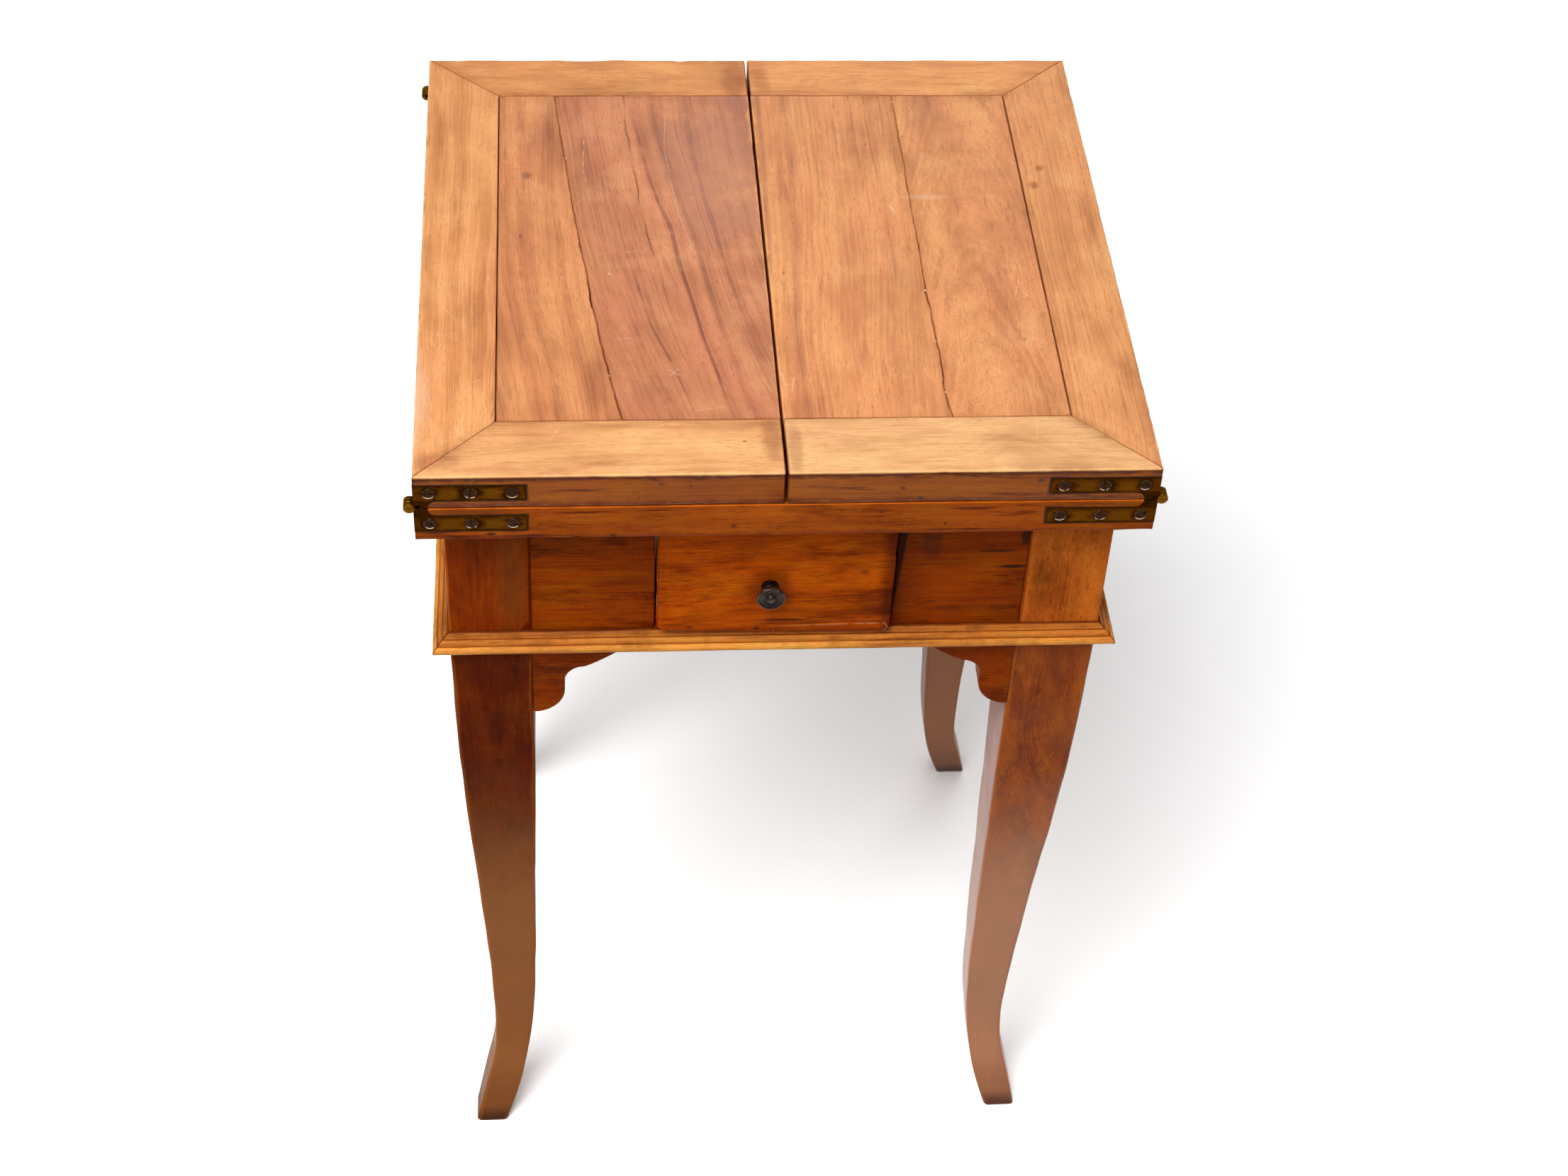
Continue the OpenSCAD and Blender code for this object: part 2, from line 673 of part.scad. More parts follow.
module left_leaf_straps() leaf_straps(0);
module right_leaf_straps() leaf_straps(1);
module left_leaf_screws() leaf_screws(0);
module right_leaf_screws() leaf_screws(1);

// Framed tops: mitred borders with a grooved inner edge, and boards with tongues

// Border along the left edge, mitred at both corners
module stile_plan() polygon([[-half_w, -half_d], [-panel_x, panel_front], [-panel_x, panel_back],
    [-half_w, half_d]]);

// Border along the front edge, mitred at the left, and square or mitred at the right
module front_plan(right_end) polygon([[-half_w, -half_d], [right_end[0], -half_d],
    [right_end[1], panel_front], [-panel_x, panel_front]]);

module back_plan(right_end) polygon([[-half_w, half_d], [-panel_x, panel_back],
    [right_end[1], panel_back], [right_end[0], half_d]]);

// Groove for the tongues, round a panel between two places
module groove(x0, x1, z)
    block([x0 - tongue_l, x1 + tongue_l], [panel_front - tongue_l, panel_back + tongue_l],
        [z - tongue_t / 2, z + tongue_t / 2], glue_gap);

// Place at the depth y of an edge that runs from front to back across the panel
function edge_x(front, back, y) = front + (back - front) * (y - panel_front) / (panel_back - panel_front);

// A board between x places at the front and the back, with tongues at its ends,
// and a tongue along an outer edge where reach is not zero
module board(left_front, left_back, right_front, right_back, z0, z1, left_reach = 0, right_reach = 0) {
    mid = (z0 + z1) / 2;
    y0 = panel_front - tongue_l;
    y1 = panel_back + tongue_l;
    upright(z0, z1) polygon([[left_front, panel_front], [right_front, panel_front],
        [right_back, panel_back], [left_back, panel_back]]);
    upright(mid - tongue_t / 2, mid + tongue_t / 2)
        polygon([[edge_x(left_front, left_back, y0) - left_reach, y0],
            [edge_x(right_front, right_back, y0) + right_reach, y0],
            [edge_x(right_front, right_back, y1) + right_reach, y1],
            [edge_x(left_front, left_back, y1) - left_reach, y1]]);
}

// Chamfers beside the fold on the front and back edges, at the height z
module fold_arrises(z) for (s = [-1, 1])
    translate([0, s * half_d, z]) rotate([45, 0, 0])
        cube([top_w + 2 * over, arris * sqrt(2), arris * sqrt(2)], center = true);

module leaf_part(right)
    color("#c9813d") difference() {
        upright(leaf_bottom, leaf_top) children();
        groove(-panel_x, panel_x, (leaf_bottom + leaf_top) / 2);
        fold_arrises(leaf_bottom);
        leaf_recesses(right);
    }

module leaf_board(left_front, left_back, right_front, right_back, left_reach = 0, right_reach = 0)
    color("#b9682f") board(left_front, left_back, right_front, right_back, leaf_bottom, leaf_top,
        left_reach, right_reach);

module left_leaf_stile() leaf_part(0) stile_plan();
module left_leaf_front_rail() leaf_part(0) front_plan([seam_left, seam_left]);
module left_leaf_back_rail() leaf_part(0) back_plan([seam_left, seam_left]);
module left_leaf_outer_board() leaf_board(-panel_x, -panel_x, left_joint_front, left_joint_back, tongue_l);
module left_leaf_inner_board() leaf_board(left_joint_front + board_gap, left_joint_back + board_gap,
    seam_left, seam_left);

module right_leaf_stile() leaf_part(1) mirror([1, 0]) stile_plan();
module right_leaf_front_rail() leaf_part(1) mirror([1, 0]) front_plan([-seam_right, -seam_right]);
module right_leaf_back_rail() leaf_part(1) mirror([1, 0]) back_plan([-seam_right, -seam_right]);
module right_leaf_outer_board() leaf_board(right_joint_front, right_joint_back, panel_x, panel_x,
    0, tongue_l);
module right_leaf_inner_board() leaf_board(seam_right, seam_right,
    right_joint_front - board_gap, right_joint_back - board_gap);

module bed_part()
    color("#b0622a") difference() {
        upright(bed_bottom, bed_top) children();
        groove(-panel_x, panel_x, (bed_bottom + bed_top) / 2);
        fold_arrises(bed_top);
        bed_recesses();
        button_screw_holes();
    }

module bed_board(x0, x1, left_reach = 0, right_reach = 0)
    color("#a85c28") difference() {
        board(x0, x0, x1, x1, bed_bottom, bed_top, left_reach, right_reach);
        button_screw_holes();
    }

module bed_stile_left() bed_part() stile_plan();
module bed_stile_right() bed_part() mirror([1, 0]) stile_plan();
module bed_rail_front() bed_part() front_plan([half_w, panel_x]);
module bed_rail_back() bed_part() back_plan([half_w, panel_x]);
module bed_board_left() bed_board(-panel_x, -panel_x / 3 - board_gap, tongue_l);
module bed_board_middle() bed_board(-panel_x / 3, panel_x / 3);
module bed_board_right() bed_board(panel_x / 3 + board_gap, panel_x, 0, tongue_l);

// Drawer

// Dovetails at the front end of the left side, seen from the side, with their roots at zero
module tails(grow = 0) {
    height = side_head - side_foot;
    for (k = [0 : tail_count - 1]) let (mid = side_foot + height * (k + 1 / 2) / tail_count)
        polygon([[over, mid - height * tail_root_share / 2 - grow],
            [0, mid - height * tail_root_share / 2 - grow],
            [-tail_l - grow, mid - height * tail_tip_share / 2 - grow],
            [-tail_l - grow, mid + height * tail_tip_share / 2 + grow],
            [0, mid + height * tail_root_share / 2 + grow],
            [over, mid + height * tail_root_share / 2 + grow]]);
}

// Outline of the drawer front, with rounded lower corners
module drawer_front_outline() {
    x0 = drawer_shift - drawer_w / 2;
    x1 = drawer_shift + drawer_w / 2;
    polygon(concat([[x0, drawer_head], [x0, drawer_foot + drawer_corner_r]],
        arc([x0 + drawer_corner_r, drawer_foot + drawer_corner_r], drawer_corner_r, 180, 270),
        arc([x1 - drawer_corner_r, drawer_foot + drawer_corner_r], drawer_corner_r, 270, 360),
        [[x1, drawer_head]]));
}

module drawer_front()
    color("#b8662a") difference() {
        along_y(drawer_face, drawer_inner) drawer_front_outline();
        for (s = [-1, 1]) let (inner = drawer_shift + s * (box_half_w - drawer_side_t - glue_gap),
            outer = drawer_shift + s * (drawer_w / 2 + over))
            along_x(min(inner, outer), max(inner, outer)) translate([drawer_inner, 0]) tails(glue_gap);
        block([drawer_shift - box_half_w + drawer_side_t - drawer_groove,
            drawer_shift + box_half_w - drawer_side_t + drawer_groove],
            [drawer_inner - drawer_groove, drawer_inner + over],
            [drawer_floor, drawer_floor + drawer_bottom_t], glue_gap);
        translate([knob_x, drawer_inner, knob_z]) rotate([-90, 0, 0])
            screw(knob_screw_head_d, knob_screw_head_h, knob_screw_d, drawer_front_t + over, screw_fit);
    }

// Side of the drawer, on the side of the drawer given by dir
module drawer_side(dir) {
    mid = drawer_shift + dir * (box_half_w - drawer_side_t / 2);
    color("#c08a50") difference() {
        union() {
            block([mid - drawer_side_t / 2, mid + drawer_side_t / 2],
                [drawer_inner, drawer_end], [side_foot, side_head]);
            along_x(mid - drawer_side_t / 2, mid + drawer_side_t / 2)
                translate([drawer_inner, 0]) tails();
        }
        translate([mid - dir * (drawer_side_t - drawer_groove), 0, 0])
            block([-drawer_side_t / 2, drawer_side_t / 2],
                [drawer_inner - over - tail_l, drawer_end + over],
                [drawer_floor, drawer_floor + drawer_bottom_t], glue_gap);
    }
}

module drawer_side_left() drawer_side(-1);
module drawer_side_right() drawer_side(1);

module drawer_back()
    color("#c08a50") block([drawer_shift - box_half_w + drawer_side_t, drawer_shift + box_half_w - drawer_side_t],
        [drawer_end - drawer_side_t, drawer_end],
        [drawer_floor + drawer_bottom_t, side_head - drawer_back_low]);

module drawer_bottom()
    color("#b98046") block([drawer_shift - box_half_w + drawer_side_t - drawer_groove + glue_gap,
        drawer_shift + box_half_w - drawer_side_t + drawer_groove - glue_gap],
        [drawer_inner - drawer_groove + glue_gap, drawer_end],
        [drawer_floor, drawer_floor + drawer_bottom_t]);

// The knob is turned about the line that stands out from the drawer front
module drawer_knob()
    color("#3c2c20") translate([knob_x, drawer_face, knob_z]) rotate([90, 0, 0]) difference() {
        rotate_extrude() polygon(concat([[0, 0]],
            [for (k = [0 : len(knob_neck_along_shares) - 1])
                [knob_neck_d / 2 * knob_neck_radius_shares[k], knob_out * knob_neck_along_shares[k]]],
            [for (k = [0 : len(knob_face_along_shares) - 1])
                [knob_d / 2 * knob_face_radius_shares[k], knob_out * knob_face_along_shares[k]]]));
        translate([0, 0, -over]) cylinder(h = knob_screw_reach + over + screw_fit, r = knob_screw_d / 2 + screw_fit);
    }

module drawer_knob_screw()
    color("#8c7a58") translate([knob_x, drawer_inner, knob_z]) rotate([-90, 0, 0])
        slotted_screw(knob_screw_head_d, knob_screw_head_h, knob_screw_d, drawer_front_t + knob_screw_reach);

leg_front_left();
leg_front_right();
leg_back_left();
leg_back_right();
side_rail_left();
side_rail_right();
back_rail();
front_rail_left();
front_rail_right();
drawer_bearer();
front_top_rail();
moulding_front();
moulding_back();
moulding_left();
moulding_right();
front_brackets();
back_brackets();
left_brackets();
right_brackets();
drawer_runner_left();
drawer_runner_right();
drawer_guide_left();
drawer_guide_right();
drawer_kickers();
drawer_stops();
top_buttons();
top_button_screws();
bed_stile_left();
bed_stile_right();
bed_rail_front();
bed_rail_back();
bed_board_left();
bed_board_middle();
bed_board_right();
bed_straps();
bed_hinge_screws();
hinge_pins();
left_leaf_stile();
left_leaf_front_rail();
left_leaf_back_rail();
left_leaf_outer_board();
left_leaf_inner_board();
left_leaf_straps();
left_leaf_screws();
right_leaf_stile();
right_leaf_front_rail();
right_leaf_back_rail();
right_leaf_outer_board();
right_leaf_inner_board();
right_leaf_straps();
right_leaf_screws();
drawer_front();
drawer_side_left();
drawer_side_right();
drawer_back();
drawer_bottom();
drawer_knob();
drawer_knob_screw();
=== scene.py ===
# A small square table with two folding leaves, one drawer and curved legs.
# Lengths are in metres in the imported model's frame: +Z up, the drawer faces -Y, the floor is at zero.

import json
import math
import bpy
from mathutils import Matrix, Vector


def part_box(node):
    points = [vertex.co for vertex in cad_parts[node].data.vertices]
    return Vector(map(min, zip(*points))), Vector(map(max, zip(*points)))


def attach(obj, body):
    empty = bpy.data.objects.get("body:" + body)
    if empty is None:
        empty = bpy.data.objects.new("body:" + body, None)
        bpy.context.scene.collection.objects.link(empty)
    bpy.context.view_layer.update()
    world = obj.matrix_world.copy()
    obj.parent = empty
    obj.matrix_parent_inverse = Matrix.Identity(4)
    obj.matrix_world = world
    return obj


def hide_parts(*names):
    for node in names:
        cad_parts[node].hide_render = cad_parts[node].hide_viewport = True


bl_info = {
    "name": "Folding Side Table",
    "version": (1, 0, 0),
    "blender": (4, 5, 0),
    "location": "3D View > Sidebar > Side Table",
    "description": "Builds the surfaces and finishes of a wooden side table with two folding leaves",
    "category": "Object",
}

import bpy
import numpy as np
from bpy.props import FloatProperty, FloatVectorProperty, PointerProperty
from mathutils import Matrix, Vector

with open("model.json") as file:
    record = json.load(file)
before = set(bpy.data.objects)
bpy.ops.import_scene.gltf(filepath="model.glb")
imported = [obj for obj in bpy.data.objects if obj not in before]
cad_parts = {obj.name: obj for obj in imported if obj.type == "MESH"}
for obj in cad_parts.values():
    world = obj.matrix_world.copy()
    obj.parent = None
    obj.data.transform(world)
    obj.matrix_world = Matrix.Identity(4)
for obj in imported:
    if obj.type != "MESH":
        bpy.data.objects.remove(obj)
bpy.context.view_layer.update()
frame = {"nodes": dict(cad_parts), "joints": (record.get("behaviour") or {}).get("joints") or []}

MM = 0.001


def box(node):
    """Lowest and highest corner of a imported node, as an array of two rows."""
    return np.array([list(corner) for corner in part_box(node)])


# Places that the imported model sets
STILE = box("left_leaf_stile")
HALF_X, HALF_Y = -STILE[0][0], -STILE[0][1]
LEAF_Z = STILE[:, 2]
BED_Z = box("bed_stile_left")[:, 2]
PANEL_X = -STILE[1][0]
PANEL_FRONT = box("left_leaf_front_rail")[1][1]
PANEL_BACK = box("left_leaf_back_rail")[0][1]
SEAM_LEFT = box("left_leaf_front_rail")[1][0]
SEAM_RIGHT = box("right_leaf_front_rail")[0][0]
POST = box("leg_front_left")
FRAME_X, FRAME_Y = -POST[0][0], -POST[0][1]
POST_IN_X = -POST[1][0]
POST_IN_Y = -POST[1][1]
POST_W = FRAME_X - POST_IN_X
MOULDING = box("moulding_front")
LEG_H, MOULDING_TOP = MOULDING[:, 2]
MOULDING_OUT = -FRAME_Y - MOULDING[0][1]
FRONT_RAIL = box("front_rail_left")
OPEN_LEFT = FRONT_RAIL[1][0]
OPEN_RIGHT = box("front_rail_right")[0][0]
RAIL_T = FRONT_RAIL[1][1] + FRAME_Y
TOP_RAIL = box("front_top_rail")
BEARER = box("drawer_bearer")
DRAWER = box("drawer_front")
DRAWER_SIDE = box("drawer_side_left")
DRAWER_BACK = box("drawer_back")
DRAWER_BOTTOM = box("drawer_bottom")
KNOB = box("drawer_knob")
BRACKET = box("front_brackets")
KNOB_CENTRE = ((KNOB[0][0] + KNOB[1][0]) / 2, DRAWER[0][1], (KNOB[0][2] + KNOB[1][2]) / 2)
AXIS_X = -frame["joints"][0]["pos_m"][0]
AXIS_Z = frame["joints"][0]["pos_m"][2]

# Hinge sizes, in the hinge's own frame: X into the top, Y inwards from the front, Z from the axis
STRAP_L, STRAP_W, STRAP_T = 74 * MM, 13.6 * MM, 3 * MM
STRAP_OFF, FOOT_W, FOOT_GAP = 6.4 * MM, 9.5 * MM, 0.1 * MM
EYE_R, EYE_OUT, PIN_R, KNUCKLE_D = 4 * MM, AXIS_X - HALF_X, 1.9 * MM, 9 * MM
BLOCK_H = 12 * MM
SCREW_R, SCREW_FIRST, SCREW_STEP = 4.4 * MM, 10.5 * MM, 27 * MM
SLOT_W, EYE_GAP = 1.1 * MM, 0.1 * MM
STRAP_MIDDLE = STRAP_OFF + STRAP_W / 2

# The moulding's outline: radii of its lower and upper bead and the step between them
TORUS_R, BEAD_R, QUIRK = 3.1 * MM, 3.0 * MM, 0.6 * MM
# How far its lower bead hangs over the tops of the legs
HANG = 2.2 * MM

# How far from an edge its wear and its dirt are measured
REACH = 30 * MM
# How far the wood lies behind the faces of the brass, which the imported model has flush
BRASS_PROUD = 0.5 * MM
# How far a stain or a scratch reaches into the wood, so that it shows on one face only
SKIN = 9 * MM
# How far apart the points of a board's surface are, and the lengths of the noise that wears its edges,
# of the chips in them and of the waves in its faces
BOARD_STEP = 3 * MM
NICK_LENGTH, CHIP_LENGTH, WAVE_LENGTH = 22 * MM, 13 * MM, 45 * MM


# Settings that a user would change


def length_setting(name, description, default):
    return FloatProperty(name=name, description=description, default=default, unit="LENGTH")


def colour_setting(name, description, default):
    return FloatVectorProperty(name=name, description=description, default=default, subtype="COLOR")


class TopSettings(bpy.types.PropertyGroup):
    """Sizes and colours of the leaves and the bed."""

    arris: length_setting("Worn edge", "Radius of the top's worn outer edges", 2.0 * MM)
    fold_arris: length_setting("Fold edge", "Radius of the edges beside the fold", 1.3 * MM)
    bed_arris: length_setting("Bed edge", "Radius of the bed's upper front and back edges", 1.0 * MM)
    joint_arris: length_setting("Joint edge", "Radius of the edges at glued joints", 0.3 * MM)
    seam_arris: length_setting("Seam edge", "Radius of the edges along the seam", 0.8 * MM)
    border: colour_setting("Border", "Middle colour of the borders", (0.896, 0.389, 0.138))
    left_panel: colour_setting("Left panel", "Middle colour of the left boards", (0.756, 0.295, 0.099))
    right_panel: colour_setting("Right panel", "Middle colour of the right boards", (0.856, 0.345, 0.115))
    bed: colour_setting("Bed", "Middle colour of the fixed bed", (0.476, 0.096, 0.0046))


class FrameSettings(bpy.types.PropertyGroup):
    """Sizes and colours of the legs, rails, moulding and brackets."""

    leg_arris: length_setting("Leg edge", "Radius of the legs' worn edges", 2.2 * MM)
    post_arris: length_setting("Post edge", "Radius of the posts' edges", 0.9 * MM)
    rails: colour_setting("Rails", "Middle colour of the rails and brackets", (0.395, 0.058, 0.0005))
    posts: colour_setting("Posts", "Middle colour of the legs beside the rails", (0.64, 0.151, 0.012))
    legs: colour_setting("Legs", "Middle colour of the legs below the moulding", (0.44, 0.102, 0.008))
    moulding: colour_setting("Moulding", "Middle colour of the moulding", (1.0, 0.40, 0.062))


class DrawerSettings(bpy.types.PropertyGroup):
    """Sizes and colours of the drawer."""

    arris: length_setting("Front edge", "Radius of the drawer front's worn edges", 2.2 * MM)
    corner: length_setting("Lower corners", "Radius of the drawer front's lower corners", 6.0 * MM)
    front: colour_setting("Front", "Middle colour of the drawer front", (0.625, 0.095, 0.001))
    lining: colour_setting("Lining", "Middle colour of the unfinished wood inside", (0.50, 0.33, 0.17))


class MetalSettings(bpy.types.PropertyGroup):
    """Colours of the hinges, screws and knob."""

    patina: colour_setting("Patina", "Colour of the tarnished brass", (0.034, 0.011, 0.0006))
    brass: colour_setting("Brass", "Colour of the worn brass", (0.100, 0.036, 0.003))
    # The screws' dark colour is partly dirt and partly painted shade, for the dark surroundings that their
    # heads reflect.
    screw: colour_setting("Screws", "Colour of the dirty screw heads", (0.016, 0.007, 0.003))
    knob: colour_setting("Knob", "Colour of the bronzed knob", (0.012, 0.0075, 0.006))


class StageSettings(bpy.types.PropertyGroup):
    """The camera, the lights and the floor."""

    place: FloatVectorProperty(name="Camera place", description="Where the camera stands",
                               default=(-0.14696, -1.56362, 1.95311), subtype="TRANSLATION")
    pitch: FloatProperty(name="Pitch", description="How far the camera looks down",
                         default=0.7714, subtype="ANGLE")
    turn: FloatProperty(name="Turn", description="How far the camera is turned to the right",
                        default=-0.1102, subtype="ANGLE")
    roll: FloatProperty(name="Roll", description="How far the camera is tilted",
                        default=0.0617, subtype="ANGLE")
    lens: FloatProperty(name="Lens", description="Focal length for a 36 mm sensor, in millimetres",
                        default=63.38)
    floor: length_setting("Floor", "Size of the floor", 14.0)
    key: FloatProperty(name="Key light", description="Power of the large lamp overhead, in watts",
                       default=74.0)
    fill: FloatProperty(name="Fill light", description="Power of the soft lamp in front, in watts",
                        default=9.0)
    sky: FloatProperty(name="Sky", description="Strength of the even light all round", default=0.30)


# Surfaces


def ripple(points, wavelength, seed):
    """Smooth noise of about -1 to 1 at each point: twelve sine waves in random directions, each with
    a wavelength of 0.6 to 1.7 times the given one, added and divided by the root of their number."""
    draw = np.random.default_rng(seed)
    directions = draw.normal(size=(12, 3))
    directions /= np.linalg.norm(directions, axis=1)[:, None]
    lengths = wavelength * draw.uniform(0.6, 1.7, 12)
    phases = draw.uniform(0, 2 * math.pi, 12)
    waves = np.sin(points @ (directions / lengths[:, None]).T * 2 * math.pi + phases)
    return waves.sum(1) / math.sqrt(12)


def smooth(value, low, high):
    """0 below low, 1 above high, and 3 t squared - 2 t cubed between them."""
    t = np.clip((value - low) / (high - low), 0, 1)
    return t * t * (3 - 2 * t)


def close_to(distance):
    """Closeness to an edge: 1 on the edge, falling evenly to 0 at REACH."""
    return np.clip(1 - distance / REACH, 0, 1)


class Shape:
    """Points, four-sided faces, flat caps and point attributes of one closed surface."""

    def __init__(self, points, quads, caps=(), **attributes):
        self.points = np.asarray(points, float)
        self.quads = np.asarray(quads, int).reshape(-1, 4)
        self.caps = [list(cap) for cap in caps]
        self.attributes = attributes
        if self.volume() < 0:
            self.turn_over()

    def volume(self):
        """Signed volume: a sixth of the triple products of each face's triangles, added."""
        fans = [self.quads[:, [0, 1, 2]], self.quads[:, [0, 2, 3]]]
        for cap in self.caps:
            fans.append(np.array([[cap[0], cap[k], cap[k + 1]] for k in range(1, len(cap) - 1)]))
        a, b, c = (self.points[np.concatenate(fans)[:, k]] for k in range(3))
        return np.einsum("ij,ij->i", a, np.cross(b, c)).sum() / 6

    def turn_over(self):
        """Runs every face's corners backwards, so that it points to the other side."""
        self.quads = self.quads[:, ::-1]
        self.caps = [cap[::-1] for cap in self.caps]

    def moved(self, change):
        """The same surface with its points put through a function."""
        return Shape(change(self.points), self.quads, self.caps, **self.attributes)


def rows(length, step, near, far):
    """Places from 0 to length, a step apart in the middle and closer within the radii near and far
    of the ends."""
    bend = np.array([0.0, 0.16, 0.38, 0.66])
    count = max(2, int(round((length - near - far) / step)) + 1)
    middle = np.linspace(near, length - far, count)
    return np.concatenate([bend * near, middle, length - bend[::-1] * far])


def skin(counts):
    """Lattice places on the skin of a box of counts points along each axis, and the faces between them."""
    grid = np.indices(counts)
    last = np.array(counts).reshape(3, 1, 1, 1) - 1
    outside = ((grid == 0) | (grid == last)).any(0)
    index = np.full(counts, -1)
    index[outside] = np.arange(outside.sum())
    sheets = [index[0].T, index[-1], index[:, 0], index[:, -1].T, index[:, :, 0].T, index[:, :, -1]]
    quads = [np.stack([s[:-1, :-1], s[1:, :-1], s[1:, 1:], s[:-1, 1:]], -1).reshape(-1, 4) for s in sheets]
    return grid[:, outside].T, np.concatenate(quads)


def rounded(places, size, radii):
    """Rounds a box. A point nearer than a radius to a side is taken to the inner point one radius in
    from each such side, and put back by those radii times the unit direction away from that point.
    radii holds each point's radius at the sides a0, a1, b0 and b1. Returns the points and directions."""
    sign = np.where(places < size / 2, -1.0, 1.0)
    gap = np.minimum(places, size - places)
    ra = np.where(sign[:, 0] < 0, radii[:, 0], radii[:, 1])
    rb = np.where(sign[:, 1] < 0, radii[:, 2], radii[:, 3])
    off_a = np.clip(1 - gap[:, 0] / ra, 0, 1)
    off_b = np.clip(1 - gap[:, 1] / rb, 0, 1)
    share = off_a + off_b
    rc = np.where(share > 0, (ra * off_a + rb * off_b) / np.maximum(share, 1e-9), ra)
    off_c = np.clip(1 - gap[:, 2] / rc, 0, 1)
    off = np.stack([off_a, off_b, off_c], 1) * sign
    radius = np.stack([ra, rb, rc], 1)
    unit = off / np.maximum(np.linalg.norm(off, axis=1), 1)[:, None]
    return places + radius * (unit - off), unit


def edge_distances(places, size, exposed):
    """Distance of each skin point to the nearest edge between two exposed faces, and to the nearest
    edge between an exposed and a hidden face. Each is the root of the two squared face distances."""
    faces = [places[:, 0], size[0] - places[:, 0], places[:, 1], size[1] - places[:, 1],
             places[:, 2], size[2] - places[:, 2]]
    worn = np.full(len(places), REACH)
    joint = np.full(len(places), REACH)
    for i in range(6):
        for j in range(i + 1, 6):
            if i // 2 == j // 2:
                continue
            gap = np.hypot(faces[i], faces[j])
            if exposed[i] and exposed[j]:
                worn = np.minimum(worn, gap)
            elif exposed[i] or exposed[j]:
                joint = np.minimum(joint, gap)
    return worn, joint


def slab(corners, levels, radii, exposed, step, axes=(0, 1, 2), bends=(None, None), crack=None,
         wave=0.12 * MM, chips=(0.8, 0.8, 0.8, 0.8), seed=0):
    """A board with rounded edges. corners[i][j] is its plan at the side a = i and the end b = j, and
    levels are its two faces. A point (a, b, c) of the rounded box lies at the even mix of the four
    corners, shifted along the first plan axis by the bends of its two sides, at c between the levels.
    radii are those of the sides a0, a1, b0, b1 at the first level and at the second, and chips tells
    how unevenly each side has worn: a radius is multiplied by one plus the chips times smooth noise.
    exposed tells which of the six faces can be touched. A crack is a row of points pushed into the
    second face."""
    corners = np.asarray(corners, float)
    radii = np.asarray(radii, float)
    size = np.array([np.linalg.norm(corners[1] - corners[0], axis=1).mean(),
                     np.linalg.norm(corners[:, 1] - corners[:, 0], axis=1).mean(),
                     abs(levels[1] - levels[0])])
    most = radii.max(0) * (1 + np.array(chips))
    at_a = rows(size[0], step, most[0], most[1])
    at_b = rows(size[1], step, most[2], most[3])
    at_c = rows(size[2], step, radii[0].max(), radii[1].max())
    if crack:
        middle = crack["at"] * size[0]
        rim = np.array([-6, -1, 0, 1, 6]) * crack["width"] / 2
        at_a = np.sort(np.concatenate([at_a[np.abs(at_a - middle) > 4 * crack["width"]], middle + rim]))
    index, quads = skin((len(at_a), len(at_b), len(at_c)))
    places = np.stack([at_a[index[:, 0]], at_b[index[:, 1]], at_c[index[:, 2]]], 1)
    worn, joint = edge_distances(places, size, exposed)
    share = places[:, 2:] / size[2]
    point_radii = radii[0] * (1 - share) + radii[1] * share
    nicks = 0.25 * ripple(places, NICK_LENGTH, seed)
    nicks = nicks + np.maximum(0, ripple(places, CHIP_LENGTH, seed + 1) - 0.9)
    point_radii = point_radii * (1 + np.clip(nicks, -0.5, 1)[:, None] * chips)
    points, out = rounded(places, size, point_radii)
    points = points + out * np.minimum(0, wave * ripple(places, WAVE_LENGTH, seed + 2))[:, None]
    cracked = np.zeros(len(points))
    if crack:
        along = places[:, 1] / size[1]
        top = places[:, 2] > size[2] * 0.999
        tent = np.where(places[:, 0] < middle, places[:, 0] / middle,
                        (size[0] - places[:, 0]) / (size[0] - middle))
        points[:, 0] += crack["path"](along) * tent
        groove = top & (np.abs(places[:, 0] - middle) < crack["width"] * 0.1)
        depth = crack["depth"](along)
        points[:, 2] -= np.where(groove, depth, 0)
        cracked = np.where(groove, np.clip(depth / crack["width"], 0, 1), 0)
    u, v = points[:, :1] / size[0], points[:, 1:2] / size[1]
    start = (1 - u) * corners[0, 0] + u * corners[1, 0]
    end = (1 - u) * corners[0, 1] + u * corners[1, 1]
    plan = (1 - v) * start + v * end
    for bend, weight in zip(bends, (1 - u, u)):
        if bend:
            plan[:, :1] += weight * bend(v)
    world = np.empty((len(points), 3))
    world[:, axes[0]] = plan[:, 0]
    world[:, axes[1]] = plan[:, 1]
    world[:, axes[2]] = levels[0] + (levels[1] - levels[0]) * points[:, 2] / size[2]
    return Shape(world, quads, worn=close_to(worn), joint=close_to(joint), crack=cracked)


def plank(low, high, radius, exposed, along, step=8 * MM, seed=0, **options):
    """A slab between two corners of a box, with one radius and its grain along one axis."""
    radii = np.full((2, 4), radius)
    corners = [[(low[0], low[1]), (low[0], high[1])], [(high[0], low[1]), (high[0], high[1])]]
    shape = slab(corners, (low[2], high[2]), radii, exposed, step, seed=seed, **options)
    return grown(shape, along, seed)


def turned(profile, centre, axis, sides):
    """A surface of revolution: each profile point (radius, distance) becomes a ring of that radius at
    that distance from the centre along the axis, and the two end rings are closed by flat caps."""
    profile = np.asarray(profile, float)
    axis = np.asarray(axis, float)
    side = np.cross(axis, (0.3, 0.5, 0.8))
    side /= np.linalg.norm(side)
    other = np.cross(axis, side)
    angle = np.arange(sides) / sides * 2 * math.pi
    ring = np.cos(angle)[:, None] * side + np.sin(angle)[:, None] * other
    points = np.asarray(centre) + profile[:, 1, None, None] * axis + profile[:, 0, None, None] * ring
    quads, caps = tube_faces(len(profile), sides)
    return Shape(points.reshape(-1, 3), quads, caps)


